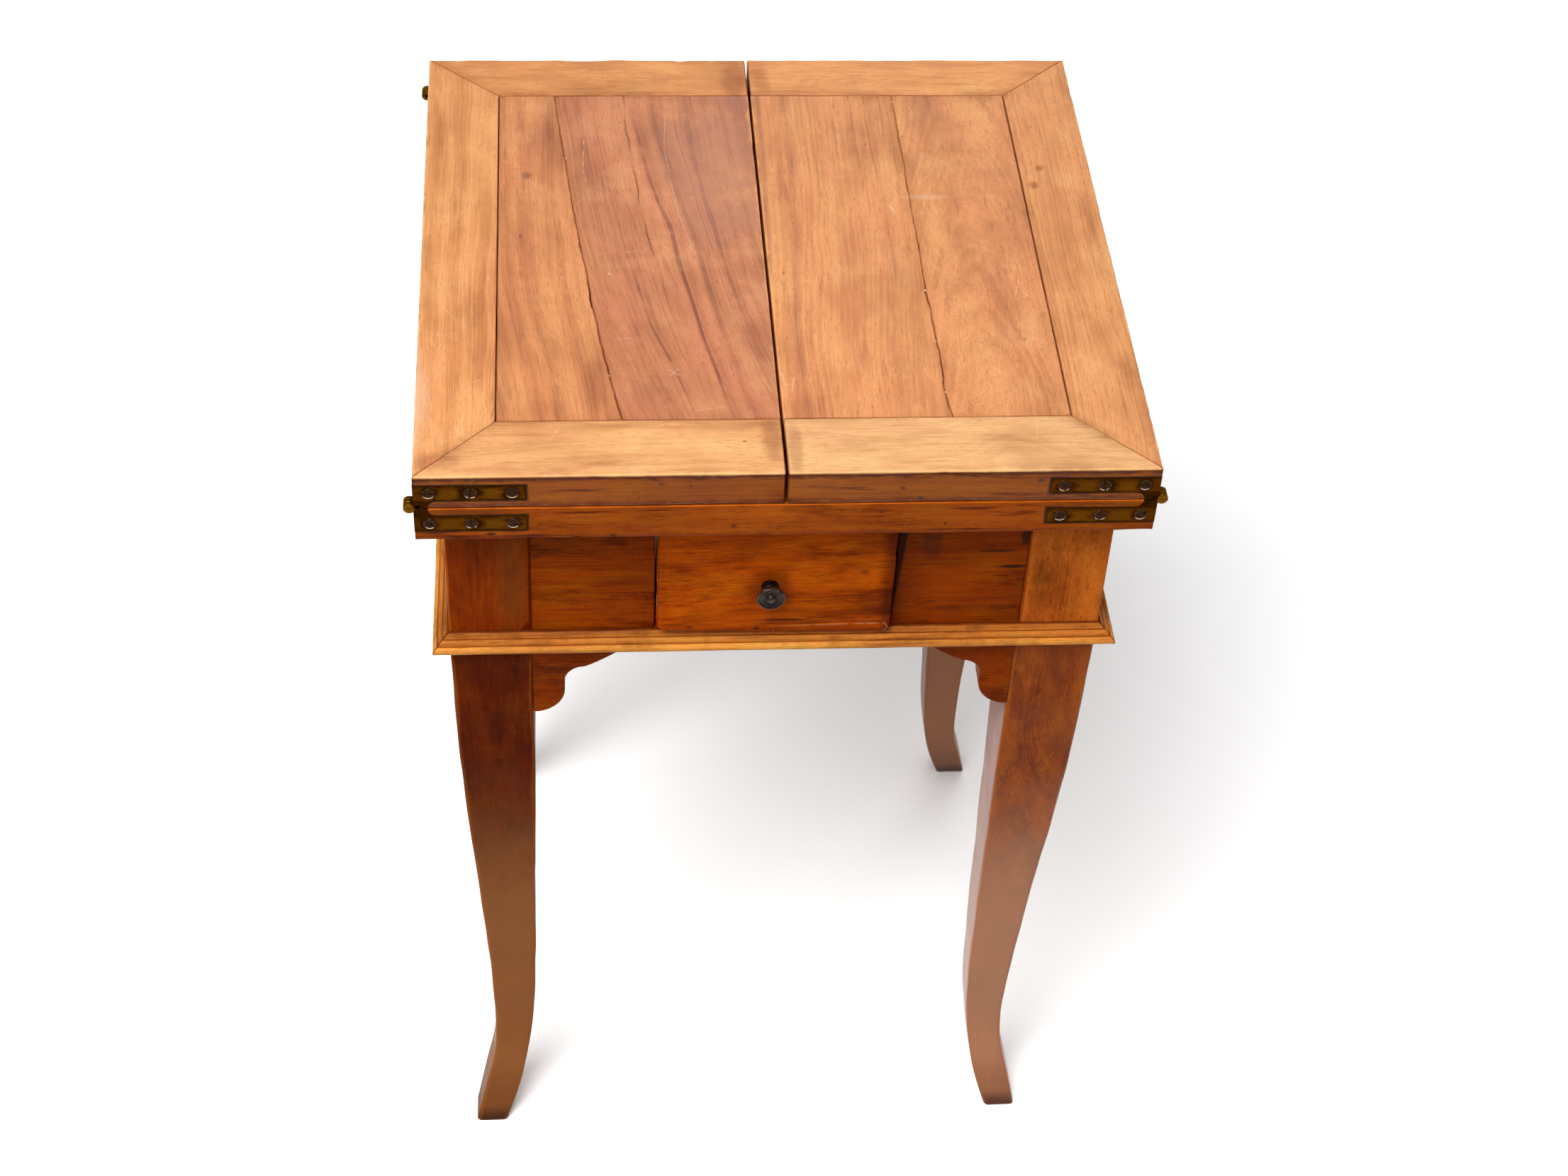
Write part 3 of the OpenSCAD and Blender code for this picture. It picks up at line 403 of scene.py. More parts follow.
def tube_faces(rings, sides):
    """Faces between closed rings of points that follow each other, and a flat cap on each end ring."""
    index = np.arange(rings * sides).reshape(rings, sides)
    after = np.roll(index, -1, axis=1)
    quads = np.stack([index[:-1], after[:-1], after[1:], index[1:]], -1).reshape(-1, 4)
    return quads, [index[0][::-1].tolist(), index[-1].tolist()]


def inset(outline, distance):
    """A closed outline moved inwards: each point goes along the sum of its two edges' inward normals,
    divided by one plus their dot product."""
    ahead = np.roll(outline, -1, axis=0) - outline
    ahead /= np.linalg.norm(ahead, axis=1)[:, None]
    normal = np.stack([-ahead[:, 1], ahead[:, 0]], 1)
    before = np.roll(normal, 1, axis=0)
    lean = 1 + np.sum(normal * before, axis=1)
    return outline + distance * (normal + before) / np.maximum(lean, 0.3)[:, None]


def cut_out(outline, levels, radius, axes=(0, 2, 1), steps=3):
    """A flat shape with rounded rims. Its rings are the anticlockwise outline moved inwards by
    radius (1 - sin t) at the depth radius (1 - cos t) under each of the two levels."""
    outline = np.asarray(outline, float)
    turn = np.linspace(0, math.pi / 2, steps + 1)
    sink, draw = radius * (1 - np.cos(turn)), radius * (1 - np.sin(turn))
    depth = np.concatenate([sink, levels[1] - levels[0] - sink[::-1]])
    inward = np.concatenate([draw, draw[::-1]])
    points = np.empty((len(depth), len(outline), 3))
    for k in range(len(depth)):
        ring = inset(outline, inward[k])
        points[k][:, axes[0]] = ring[:, 0]
        points[k][:, axes[1]] = ring[:, 1]
        points[k][:, axes[2]] = levels[0] + depth[k]
    quads, caps = tube_faces(len(depth), len(outline))
    rim = np.repeat(np.concatenate([turn, turn[::-1]]), len(outline))
    return Shape(points.reshape(-1, 3), quads, caps, worn=close_to(np.abs(rim - math.pi / 4) * radius * 2))


def arc(centre, radius, start, end, count):
    """Points of an arc about a centre, between two angles in degrees."""
    angle = np.radians(np.linspace(start, end, count))
    return np.stack([centre[0] + radius * np.cos(angle), centre[1] + radius * np.sin(angle)], 1)


def grown(shape, along, seed, lean=(0.0, 0.0), heart=None, sweep=0.0, tint=(1.0, 1.0, 1.0)):
    """Gives a shape its place in the log that it was sawn from, as the attribute grain: the first value
    runs along the fibres, the other two lie across them from the log's heart. Points are turned by the
    two lean angles, bent sideways by sweep times the squared distance along, shifted off the heart, and
    moved along by an amount of the seed's own. tint multiplies the colour of this one piece."""
    draw = np.random.default_rng(seed + 500)
    if heart is None:
        heart = draw.uniform(-1, 1, 2) * (60 * MM, 90 * MM) + (0, 150 * MM)
    order = [along, (along + 1) % 3, (along + 2) % 3]
    centre = (shape.points.min(0) + shape.points.max(0)) / 2
    local = (shape.points - centre)[:, order]
    turn = np.array(Matrix.Rotation(lean[0], 3, "Z") @ Matrix.Rotation(lean[1], 3, "Y"))
    grain = local @ turn.T
    grain[:, 2] += sweep * grain[:, 0] ** 2
    grain[:, 1:] += heart
    grain[:, 0] += 0.371 * (seed % 97)
    shape.attributes["grain"] = grain
    shape.attributes["tint"] = np.tile(tint, (len(shape.points), 1))
    return shape


# Pieces


def new_piece(name, parts, body, slot, *nodes):
    """One object from several (shape, material) parts, which rides on a body and replaces nodes."""
    points = np.concatenate([shape.points for shape, material in parts])
    faces, flat, finish, finishes = [], [], [], []
    start = 0
    for shape, material in parts:
        if material not in finishes:
            finishes.append(material)
        faces += (shape.quads + start).tolist() + [[k + start for k in cap] for cap in shape.caps]
        flat += [False] * len(shape.quads) + [True] * len(shape.caps)
        finish += [finishes.index(material)] * (len(shape.quads) + len(shape.caps))
        start += len(shape.points)
    mesh = bpy.data.meshes.new(name)
    mesh.from_pydata(points.tolist(), [], faces)
    for material in finishes:
        mesh.materials.append(material)
    mesh.polygons.foreach_set("use_smooth", ~np.array(flat))
    mesh.polygons.foreach_set("material_index", np.array(finish, np.int32))
    for key, width in (("grain", 3), ("tint", 3), ("worn", 1), ("joint", 1), ("crack", 1)):
        values = []
        for shape, material in parts:
            known = shape.attributes.get(key, np.zeros((len(shape.points), width)))
            values.append(np.asarray(known, np.float32).ravel())
        layer = mesh.attributes.new(key, "FLOAT_VECTOR" if width == 3 else "FLOAT", "POINT")
        layer.data.foreach_set("vector" if width == 3 else "value", np.concatenate(values))
    mesh.update()
    piece = bpy.data.objects.new(name, mesh)
    bpy.context.scene.collection.objects.link(piece)
    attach(piece, body)
    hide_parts(*nodes)
    return piece


# Finishes


class Nodes:
    """Short calls for the nodes that the finishes and the sky need."""

    def __init__(self, tree):
        self.tree = tree
        tree.nodes.clear()

    def node(self, kind, values=(), **settings):
        """A new node with its settings. values go to its inputs in order or by name."""
        node = self.tree.nodes.new(kind)
        for key, value in settings.items():
            setattr(node, key, value)
        pairs = values.items() if isinstance(values, dict) else enumerate(values)
        for key, value in pairs:
            if isinstance(value, bpy.types.NodeSocket):
                self.tree.links.new(value, node.inputs[key])
            elif value is not None:
                node.inputs[key].default_value = value
        return node

    def math(self, operation, *values, clamp=False):
        return self.node("ShaderNodeMath", values, operation=operation, use_clamp=clamp).outputs[0]

    def product(self, *values):
        """All the values multiplied."""
        result = values[0]
        for value in values[1:]:
            result = self.math("MULTIPLY", result, value)
        return result

    def add(self, first, second, clamp=False):
        return self.math("ADD", first, second, clamp=clamp)

    def less(self, first, second):
        """The first value less the second one."""
        return self.math("SUBTRACT", first, second)

    def size(self, value):
        """A value without its sign."""
        return self.math("ABSOLUTE", value)

    def larger(self, first, second):
        return self.math("MAXIMUM", first, second)

    def centred(self, value, width):
        """A value of 0 to 1 as a shift of up to half the width below or above zero."""
        return self.product(self.less(value, 0.5), width)

    def vector(self, operation, *values):
        node = self.node("ShaderNodeVectorMath", values, operation=operation)
        return node.outputs["Value" if operation in ("LENGTH", "DISTANCE", "DOT_PRODUCT") else "Vector"]

    def split(self, vector):
        return self.node("ShaderNodeSeparateXYZ", [vector]).outputs[:3]

    def joined(self, x, y, z):
        return self.node("ShaderNodeCombineXYZ", [x, y, z]).outputs[0]

    def step(self, value, low, high, bottom=0.0, top=1.0):
        """Smooth step of a value between two limits, which may fall as well as rise."""
        return self.node("ShaderNodeMapRange", [value, low, high, bottom, top],
                         interpolation_type="SMOOTHSTEP").outputs[0]

    def noise(self, vector, stretch, detail, rough=0.55, colour=False):
        """Noise whose features are about 1 / stretch metres long on each axis."""
        place = self.vector("MULTIPLY", vector, stretch)
        values = {"Vector": place, "Scale": 1.0, "Detail": detail, "Roughness": rough}
        return self.node("ShaderNodeTexNoise", values).outputs["Color" if colour else "Fac"]

    def bands(self, value, size, detail=2.0, rough=0.6):
        """Uneven bands of about one size along a value."""
        values = {"W": self.math("DIVIDE", value, size), "Scale": 1.0, "Detail": detail, "Roughness": rough}
        return self.node("ShaderNodeTexNoise", values, noise_dimensions="1D").outputs["Fac"]

    def mix(self, share, first, second, blend="MIX"):
        node = self.node("ShaderNodeMix", {0: share, 6: self.solid(first), 7: self.solid(second)},
                         data_type="RGBA", blend_type=blend)
        return node.outputs[2]

    def painted(self, colour, tone, *shares):
        """The colour with a tone laid over it, as far as the product of the shares."""
        return self.mix(self.product(*shares), colour, tone)

    def tinted(self, colour, tone, *shares):
        """The colour multiplied by a tone, as far as the product of the shares."""
        return self.mix(self.product(*shares), colour, tone, "MULTIPLY")

    def solid(self, colour):
        """A colour with its fourth value, or the socket as it is."""
        return colour if isinstance(colour, bpy.types.NodeSocket) else (*colour, 1.0)

    def ramp(self, value, stops):
        """Colour between stops of (place, colour)."""
        node = self.node("ShaderNodeValToRGB", [value])
        elements = node.color_ramp.elements
        while len(elements) < len(stops):
            elements.new(0.5)
        for element, (place, colour) in zip(elements, stops):
            element.position = place
            element.color = self.solid(colour)
        return node.outputs[0]

    def attribute(self, name, output):
        return self.node("ShaderNodeAttribute", attribute_name=name).outputs[output]

    def place(self):
        return self.node("ShaderNodeTexCoord").outputs["Object"]

    def distance_to(self, edge):
        """Distance to the nearest edge of one kind, from the closeness that the surface carries."""
        return self.product(self.less(1.0, self.attribute(edge, "Fac")), REACH)

    def seen(self):
        """1 where the camera, a reflection or glass looks, and 0 for all other light."""
        ray = self.node("ShaderNodeLightPath").outputs
        seen = self.larger(ray["Is Camera Ray"], ray["Is Glossy Ray"])
        return self.larger(seen, ray["Is Transmission Ray"])


class Finish(Nodes):
    """A new material. A piece's own marks find the place, soft clouds and dark streaks on it."""

    at = cloud = streak = None

    def __init__(self, name):
        self.material = bpy.data.materials.new(name)
        self.material.use_nodes = True
        super().__init__(self.material.node_tree)

    def close(self, colour, rough, height, depth, **constants):
        """Ends the tree with a shader and its relief; the constants are set on its own sockets."""
        bump = self.node("ShaderNodeBump", {"Strength": 1.0, "Distance": depth, "Height": height})
        values = {"Base Color": colour, "Roughness": rough, "Normal": bump.outputs[0]}
        values.update({key.replace("_", " "): value for key, value in constants.items()})
        shader = self.node("ShaderNodeBsdfPrincipled", values)
        self.node("ShaderNodeOutputMaterial", [shader.outputs[0]])
        return self.material


def shade(colour, light, warm=1.0):
    """A colour made lighter or darker, with its blue and some green taken down as warm rises."""
    scaled = (colour[0] * light, colour[1] * light / warm ** 0.5, colour[2] * light / warm)
    return tuple(min(1, value) for value in scaled)


# The finish of the table's wood, where a piece's own finish says nothing else
WOOD = dict(
    # Its figure: the rings' width and bend, and how strongly each part of the figure shows
    ring=9 * MM, bend=14 * MM, ring_depth=0.30, line_depth=0.20, fibre_depth=0.45, patch_depth=0.5,
    pore_depth=0.55, hue=0.5, olive=0.0, stripe=0.0, stripe_at=None, streak=0.25, dash=0.3,
    # What has happened to it: how strongly soot, flecks, specks, scratches, dirt and haze show
    soot=0.0, fleck=0.7, speck=0.0, scratch=0.4, grime=0.7, haze=0.1,
    # Its worn edges: how strongly, how far in, from which height up, and how light and warm they are
    wear=0.8, wear_reach=(0.6 * MM, 4.5 * MM), wear_from=None, rub=(1.42, 0.78),
    # Its polish, and where its grain is read from
    rough=0.42, specular=0.3, sheen=0.0, source="grain")


def wood(name, colour, marks=None, **changes):
    """Waxed hardwood. Rings are bands of the distance from the log's heart, bent by slow noise; fibres
    and pores are noise drawn out along the grain; flecks, scratches, dirt at joints and worn edges
    lie over them. marks may add a piece's own marks to the colour."""
    look = {**WOOD, **changes}
    t = Finish(name)
    place = t.at = t.place()
    in_log = look["source"] == "grain"
    grain = t.attribute("grain", "Vector") if in_log else t.vector("ADD", place, (3.0, 0.11, 0.17))
    slow = t.vector("SUBTRACT", t.noise(grain, (5, 16, 16), 2, 0.5, colour=True), (0.5, 0.5, 0.5))
    sway = 2 * look["bend"]
    side, up = t.split(t.vector("ADD", grain, t.vector("MULTIPLY", slow, (0.0, sway, sway))))[1:]
    heart = t.math("SQRT", t.add(t.product(side, side), t.product(up, up)))
    ring = t.step(t.bands(heart, look["ring"]), 0.30, 0.70)
    line = t.step(t.bands(heart, look["ring"] * 0.22, 3), 0.35, 0.65)
    fibre = t.noise(grain, (22, 800, 800), 3, 0.6)
    patch = t.noise(grain, (11, 30, 30), 3, 0.6)
    cloud = t.cloud = t.noise(place, (24, 24, 24), 4, 0.65)
    strong = t.step(cloud, 0.35, 0.65, 0.35 * look["fibre_depth"], 1.4 * look["fibre_depth"])
    tone = 0.5
    for value, depth in ((ring, look["ring_depth"] * 0.55), (line, look["line_depth"] * 0.4),
                         (fibre, strong), (patch, look["patch_depth"] * 1.5),
                         (cloud, look["patch_depth"] * 0.4)):
        tone = t.add(tone, t.centred(value, depth))
    result = t.ramp(tone, [(0.12, shade(colour, 0.50, 1.45)), (0.36, shade(colour, 0.78, 1.15)),
                           (0.56, colour), (0.88, shade(colour, 1.24, 0.88))])
    hue = t.step(t.noise(grain, (9, 34, 34), 3), 0.38, 0.64)
    result = t.tinted(result, (0.93, 0.82, 0.86), hue, look["hue"])
    if look["olive"]:
        yellow = t.step(t.noise(grain, (17, 60, 60), 4, 0.65), 0.46, 0.64)
        result = t.tinted(result, (1.0, 1.32, 1.2), yellow, look["olive"])
    if look["stripe"]:
        dark = t.step(t.bands(t.add(heart, 0.4), look["ring"], 3, 0.62), 0.54, 0.66)
        zone = t.step(t.noise(grain, (7, 16, 16), 2), 0.42, 0.60)
        if look["stripe_at"]:
            zone = t.larger(t.product(zone, 0.4), stain(t, *look["stripe_at"]))
        result = t.tinted(result, (0.47, 0.34, 0.40), dark, zone, look["stripe"])
    pore = t.product(t.step(t.noise(grain, (130, 2100, 2100), 1), 0.60, 0.72), t.step(patch, 0.30, 0.62))
    result = t.tinted(result, (0.36, 0.24, 0.17), pore, look["pore_depth"])
    streak = t.streak = t.step(t.noise(grain, (14, 190, 190), 4, 0.65), 0.55, 0.70)
    result = t.tinted(result, (0.55, 0.38, 0.26), streak, look["streak"])
    dash = t.step(t.noise(grain, (60, 560, 560), 2, 0.6), 0.61, 0.69)
    result = t.tinted(result, (0.40, 0.26, 0.18), dash, t.step(cloud, 0.35, 0.60), look["dash"])
    if look["soot"]:
        blot = t.step(t.noise(grain, (14, 46, 46), 5, 0.72), 0.50, 0.66)
        result = t.tinted(result, (0.30, 0.17, 0.10), blot, look["soot"])
    if in_log:
        result = t.tinted(result, t.attribute("tint", "Color"), 1.0)
    cells = t.node("ShaderNodeTexVoronoi", {"Vector": t.vector("MULTIPLY", grain, (45, 105, 105)),
                                            "Scale": 1.0})
    chance, size, kind = t.split(cells.outputs["Color"])
    away = cells.outputs["Distance"]
    near = t.step(t.less(away, t.product(size, 0.14)), 0.03, -0.02)
    fleck = t.product(near, t.step(chance, 0.91, 0.93))
    result = t.painted(result, (0.06, 0.022, 0.012), fleck, look["fleck"])
    if look["speck"]:
        pale = t.product(t.step(away, 0.10, 0.05), t.step(kind, 0.93, 0.95))
        result = t.painted(result, (0.96, 0.80, 0.66), pale, look["speck"])
    scratch = t.larger(scratches(t, place, 23 * MM, 0.22 * MM, 0.30, 1.7),
                       scratches(t, place, 9 * MM, 0.16 * MM, 0.22, 4.1))
    scratch = t.product(scratch, t.step(cloud, 0.38, 0.60))
    result = t.painted(result, shade(colour, 1.5, 0.60), scratch, look["scratch"])
    if look["haze"]:
        result = t.painted(result, shade(colour, 1.25, 0.5), t.step(cloud, 0.45, 0.75), look["haze"])
    if marks:
        result = marks(t, result)
    gap = t.distance_to("joint")
    halo = t.product(t.step(gap, 14 * MM, 0.0), t.step(cloud, 0.45, 0.70), 0.7)
    dirt = t.product(t.larger(halo, t.step(gap, 1.2 * MM, 0.3 * MM)), look["grime"])
    result = t.tinted(result, (0.36, 0.22, 0.17), dirt)
    reach = t.step(t.noise(place, (60, 60, 60), 3, 0.7), 0.35, 0.75, *look["wear_reach"])
    rub = t.product(t.step(t.distance_to("worn"), reach, 0.2 * MM), look["wear"])
    if look["wear_from"]:
        height = t.split(place)[2]
        rub = t.product(rub, t.step(height, look["wear_from"] - 3 * MM, look["wear_from"], 0.15, 1.0))
    result = t.painted(result, shade(colour, *look["rub"]), rub)
    result = t.painted(result, (0.02, 0.008, 0.004), t.attribute("crack", "Fac"))
    rough = t.add(look["rough"], t.centred(cloud, 0.25))
    rough = t.add(rough, t.product(scratch, 0.15))
    rough = t.add(rough, t.product(dirt, 0.55), clamp=True)
    height = t.less(t.product(fibre, 0.35), t.product(pore, 0.45))
    height = t.less(height, t.product(t.add(fleck, scratch), 0.5))
    return t.close(result, rough, height, 0.12 * MM, Specular_IOR_Level=look["specular"],
                   Sheen_Weight=look["sheen"], Sheen_Roughness=0.3, Sheen_Tint=(1.0, 0.90, 0.86, 1.0))


def scratches(t, place, cell, width, share, seed):
    """Mask of straight scratches. In some cells of a pattern of scattered centres, it keeps the points
    near a plane of random tilt through the centre, and no further from the centre than half a cell."""
    grid = t.vector("MULTIPLY", place, (1 / cell, 1 / cell, 1 / cell))
    grid = t.vector("ADD", grid, (seed, 1.3 * seed, 0.7 * seed))
    cells = t.node("ShaderNodeTexVoronoi", {"Vector": grid, "Scale": 1.0}).outputs
    away = t.vector("SUBTRACT", grid, cells["Position"])
    tilt = t.vector("NORMALIZE", t.vector("SUBTRACT", cells["Color"], (0.5, 0.5, 0.5)))
    across = t.size(t.vector("DOT_PRODUCT", away, tilt))
    line = t.step(across, width / cell, 0.3 * width / cell)
    kept = t.math("LESS_THAN", t.split(cells["Color"])[2], share)
    return t.product(line, t.step(cells["Distance"], 0.60, 0.40), kept)


def stain(t, centre, size):
    """Mask of a soft stain: the distance from its centre, in its own sizes, bent by noise."""
    away = t.vector("LENGTH", t.vector("DIVIDE", t.vector("SUBTRACT", t.at, centre), size))
    return t.step(t.add(away, t.centred(t.cloud, 1.6)), 1.1, 0.35)


def spots(t, colour, tone, marks, face=None, blend="MIX"):
    """Lays soft stains of one tone over the top, or over the upright face at the distance face. Each
    mark is a place and two sizes on that face, in millimetres, and how strongly it shows."""
    for across, up, wide, high, depth in marks:
        if face is None:
            centre, size = (across * MM, up * MM, LEAF_Z[1]), (wide * MM, high * MM, SKIN)
        else:
            centre, size = (across * MM, face, up * MM), (wide * MM, SKIN, high * MM)
        share = t.product(stain(t, centre, size), depth)
        colour = t.mix(share, colour, tone, blend)
    return colour


def stroke(t, x, y, start, end, width):
    """Mask of a straight scratch on a face, between two places (x, y) in millimetres. It is the product
    of two steps: of the distance from the line, and of the share of the way along it."""
    start, end = Vector(start) * MM, Vector(end) * MM
    span = end - start
    run = span / span.length_squared
    side = Vector((-span.y, span.x)) / span.length
    along = t.math("MULTIPLY_ADD", y, run.y, t.math("MULTIPLY_ADD", x, run.x, -run.dot(start) - 0.5))
    across = t.math("MULTIPLY_ADD", y, side.y, t.math("MULTIPLY_ADD", x, side.x, -side.dot(start)))
    line = t.step(t.size(across), width * 0.5 * MM, width * 0.15 * MM)
    return t.product(line, t.step(t.size(along), 0.52, 0.48))


# Lines that someone has scratched into the panels, as paths over the top. A path is a place and then
# further places, each with the width of the line up to it, all in millimetres
LEFT_SCRATCHES = [[(-128.5, 132.3), (-129.6, 95.8, 0.8), (-124.8, 59.1, 0.6)],
                  [(-66.5, 179.5), (-69.6, 120.8, 0.5), (-65.7, 76.8, 0.6), (-62.0, 40.0, 0.7),
                   (-51.9, -7.5, 0.5)],
                  [(-190.3, 108.1), (-175.7, 97.6, 0.7)], [(-111.2, -100.6), (-97.3, -99.0, 0.6)],
                  [(-76.0, -132.0), (-69.0, -139.0, 0.8)], [(-69.0, -132.0), (-75.0, -139.5, 0.8)]]
RIGHT_SCRATCHES = [[(90.9, 50.4), (94.4, 41.6, 2.0)],
                   [(168.4, -33.2), (171.8, -38.1, 0.7), (175.7, -30.9, 0.7), (168.9, -60.1, 0.8),
                    (179.0, -55.0, 0.6)],
                   [(174.8, -49.9), (178.4, -56.6, 0.7)], [(185.2, 106.5), (191.1, 98.2, 0.8)],
                   [(0.3, -136.9), (1.9, -151.4, 1.0)], [(9.0, -138.2), (5.7, -158.4, 0.9)]]
# Painted highlights along the drawer front's lower rims: its lower edge and the outline of the strip that
# has split off
DRAWER_RIM_HIGHLIGHTS = [[(-84.0, 591.0), (-3.0, 588.4, 0.8), (73.0, 587.0, 1.1), (77.0, 590.6, 1.4),
                (74.4, 595.3, 1.4), (55.2, 595.2, 1.4), (30.9, 594.6, 1.2), (-2.8, 593.5, 0.9),
                (-3.0, 588.4, 0.7)]]
# Places where pale dust fills a joint, as places on the top in millimetres
DUST = {"left": [(-114.6, -138.2), (-110.8, -159.2)],
        "right": [(105.9, 181.6), (106.0, 12.7), (107.0, -48.6), (107.9, -104.6), (109.2, -158.7)]}
# Dark places on the borders, on the front rail right of the drawer and on the drawer's front. Each is a
# place and two sizes in millimetres, and how strongly it shows
BORDER_SPOTS = [(-10, -205, 9, 26, 0.55), (4, -215, 6, 30, 0.45), (-12, 213, 12, 24, 0.5),
                (8, 213, 10, 24, 0.35), (-226, -222, 22, 12, 0.4), (207, 95, 4, 5, 0.6),
                (200, 74, 4, 5, 0.6), (236, -140, 7, 20, 0.3)]
RAIL_SPOTS = [(164, 694, 9, 4, 0.95), (168, 668, 4, 9, 0.9), (160, 640, 17, 2.2, 0.95),
              (112, 694, 3, 3, 0.8), (120, 600, 22, 4, 0.4), (130, 688, 60, 9, 0.45),
              (104, 668, 8, 24, 0.4), (150, 655, 16, 1.6, 0.8)]
DRAWER_SPOTS = [(3, 600, 19, 1.6, 0.7), (-15, 592, 3, 2, 0.7), (-62, 594, 4, 2, 0.6), (58, 645, 4, 3, 0.5),
                (-20, 668, 16, 9, 0.25)]


def pale_lines(t, colour, paths, pale, upright=False, depth=0.6):
    """Draws pale scratches on the top, or painted highlights along the drawer front's rims, which break up
    where the wood is hard.
    """
    x, y, z = t.split(t.at)
    mask = 0.0
    for path in paths:
        for start, end in zip(path, path[1:]):
            mask = t.larger(mask, stroke(t, x, z if upright else y, start[:2], end[:2], end[2]))
    broken = t.step(t.noise(t.at, (260, 260, 260), 2, 0.7), 0.38, 0.54)
    if upright:
        face = t.step(y, DRAWER[0][1] + SKIN, DRAWER[0][1])
    else:
        face = t.step(z, LEAF_Z[1] - SKIN, LEAF_Z[1] - 1 * MM)
    return t.painted(colour, pale, mask, face, broken, depth)


def left_panel_marks(t, colour):
    """The left boards' scratches, a milky patch beside the seam and a dark knot."""
    colour = spots(t, colour, (0.46, 0.20, 0.13), [(-32, 95, 46, 120, 0.45)])
    colour = spots(t, colour, (0.20, 0.06, 0.03), [(-171, 88, 5, 6, 0.6)])
    return pale_lines(t, colour, LEFT_SCRATCHES, (0.92, 0.60, 0.40))


def right_panel_marks(t, colour):
    """The right boards' scratches, a pale rubbed streak and a pale patch at the back."""
    colour = spots(t, colour, (0.92, 0.54, 0.33), [(117, 60, 20, 4, 0.40)])
    colour = spots(t, colour, (0.86, 0.36, 0.11), [(160, 178, 13, 16, 0.5)])
    return pale_lines(t, colour, RIGHT_SCRATCHES, (0.98, 0.70, 0.48))


def flank(t, colour, levels, tone, dark_top, foot_shade):
    """Marks on the four upright sides of the top: between the levels the colour is multiplied by a tone,
    which is painted shade that darkens these upright faces, with dark streaks, black spots, a dirty band
    under the upper edge, a band of painted shade above the lower edge, and black dirt round the straps."""
    x, y, z = t.split(t.at)
    under = t.less(levels[1], z)
    over = t.less(z, levels[0])
    side = t.product(t.step(under, 0.9 * MM, 2.4 * MM), t.step(over, 0.02 * MM, 0.5 * MM))
    # This tone is painted shade: it darkens the upright sides, on which less light falls.
    colour = t.tinted(colour, tone, side)
    colour = t.tinted(colour, (0.30, 0.19, 0.12), side, t.streak, 0.85)
    ragged = t.centred(t.noise(t.at, (70, 70, 260), 3, 0.7), 9 * MM)
    band = t.step(t.add(under, ragged), 6.5 * MM, 2.6 * MM)
    colour = t.tinted(colour, (0.20, 0.10, 0.06), band, side, dark_top)
    # The band above the lower edge is painted shade.
    foot = t.step(t.add(over, ragged), 6.0 * MM, 1.5 * MM)
    colour = t.tinted(colour, (0.38, 0.17, 0.07), foot, side, foot_shade)
    black = t.step(t.noise(t.at, (75, 75, 110), 3, 0.6), 0.66, 0.71)
    colour = t.painted(colour, (0.05, 0.02, 0.012), black, side, 0.85)
    past = t.less(t.less(HALF_X, t.size(x)), STRAP_L)
    rise = t.size(t.less(z, AXIS_Z))
    off = t.size(t.less(rise, STRAP_MIDDLE))
    away = t.larger(past, t.less(off, STRAP_W / 2))
    away = t.add(away, t.product(t.less(t.cloud, 0.45), 3.0 * MM))
    ends = t.step(t.size(y), HALF_Y - 4 * MM, HALF_Y - 3 * MM)
    return t.painted(colour, (0.035, 0.015, 0.008), t.step(away, 1.6 * MM, 0.4 * MM), ends, 0.85)


def border_marks(t, colour):
    """Dark thumbed places at the ends of the borders, two brown spots on the right one, a pale, dried-out
    place near the left corner, and sides with dirt and painted shade."""
    colour = spots(t, colour, (0.96, 0.66, 0.46), [(-247, -165, 14, 75, 0.35)])
    colour = spots(t, colour, (0.42, 0.25, 0.20), BORDER_SPOTS, blend="MULTIPLY")
    # The sides' tone and the band above their lower edge are painted shade.
    return flank(t, colour, LEAF_Z, (0.435, 0.207, 0.034), 0.9, 0.8)


def bed_marks(t, colour):
    """Sides with dirt and a band of painted shade above the lower edge, redder and less dark than those of
    the leaves, and darker wood between the straps.
    """
    at_fold = BED_Z[1] / MM - 3
    between = [(sign * 208, at_fold, 32, 4, 0.7) for sign in (-1, 1)]
    colour = spots(t, colour, (0.20, 0.036, 0.005), between, -HALF_Y)
    return flank(t, colour, BED_Z, (1.0, 1.0, 1.0), 0.0, 0.5)


def rail_marks(t, colour):
    """A painted shadow beside the drawer's right edge, wider towards the top, with a softer painted shade
    further right, dark burnt and oily places on the front rail to its right, and two splits in it."""
    x, y, z = t.split(t.at)
    beside = t.less(x, OPEN_RIGHT)
    wide = t.product(t.less(z, MOULDING_TOP), 0.075)
    edge = t.add(t.less(beside, wide), t.centred(t.cloud, 3 * MM))
    # A painted shadow: a dark wedge beside the drawer's edge, and a softer painted shade up to 34 mm from
    # it.
    near = t.larger(t.step(edge, 1.5 * MM, -1.5 * MM), t.product(t.step(beside, 34 * MM, 4 * MM), 0.35))
    front = t.step(y, -FRAME_Y + 2 * SKIN, -FRAME_Y + SKIN)
    colour = t.tinted(colour, (0.10, 0.05, 0.03), near, t.step(beside, -2 * MM, -1 * MM), front)
    return spots(t, colour, (0.03, 0.010, 0.006), RAIL_SPOTS, -FRAME_Y)


def post_marks(t, colour):
    """A dull, greyer place down the inner half of the left post."""
    return spots(t, colour, (0.28, 0.095, 0.015), [(-184, 640, 14, 80, 0.3)], -FRAME_Y)


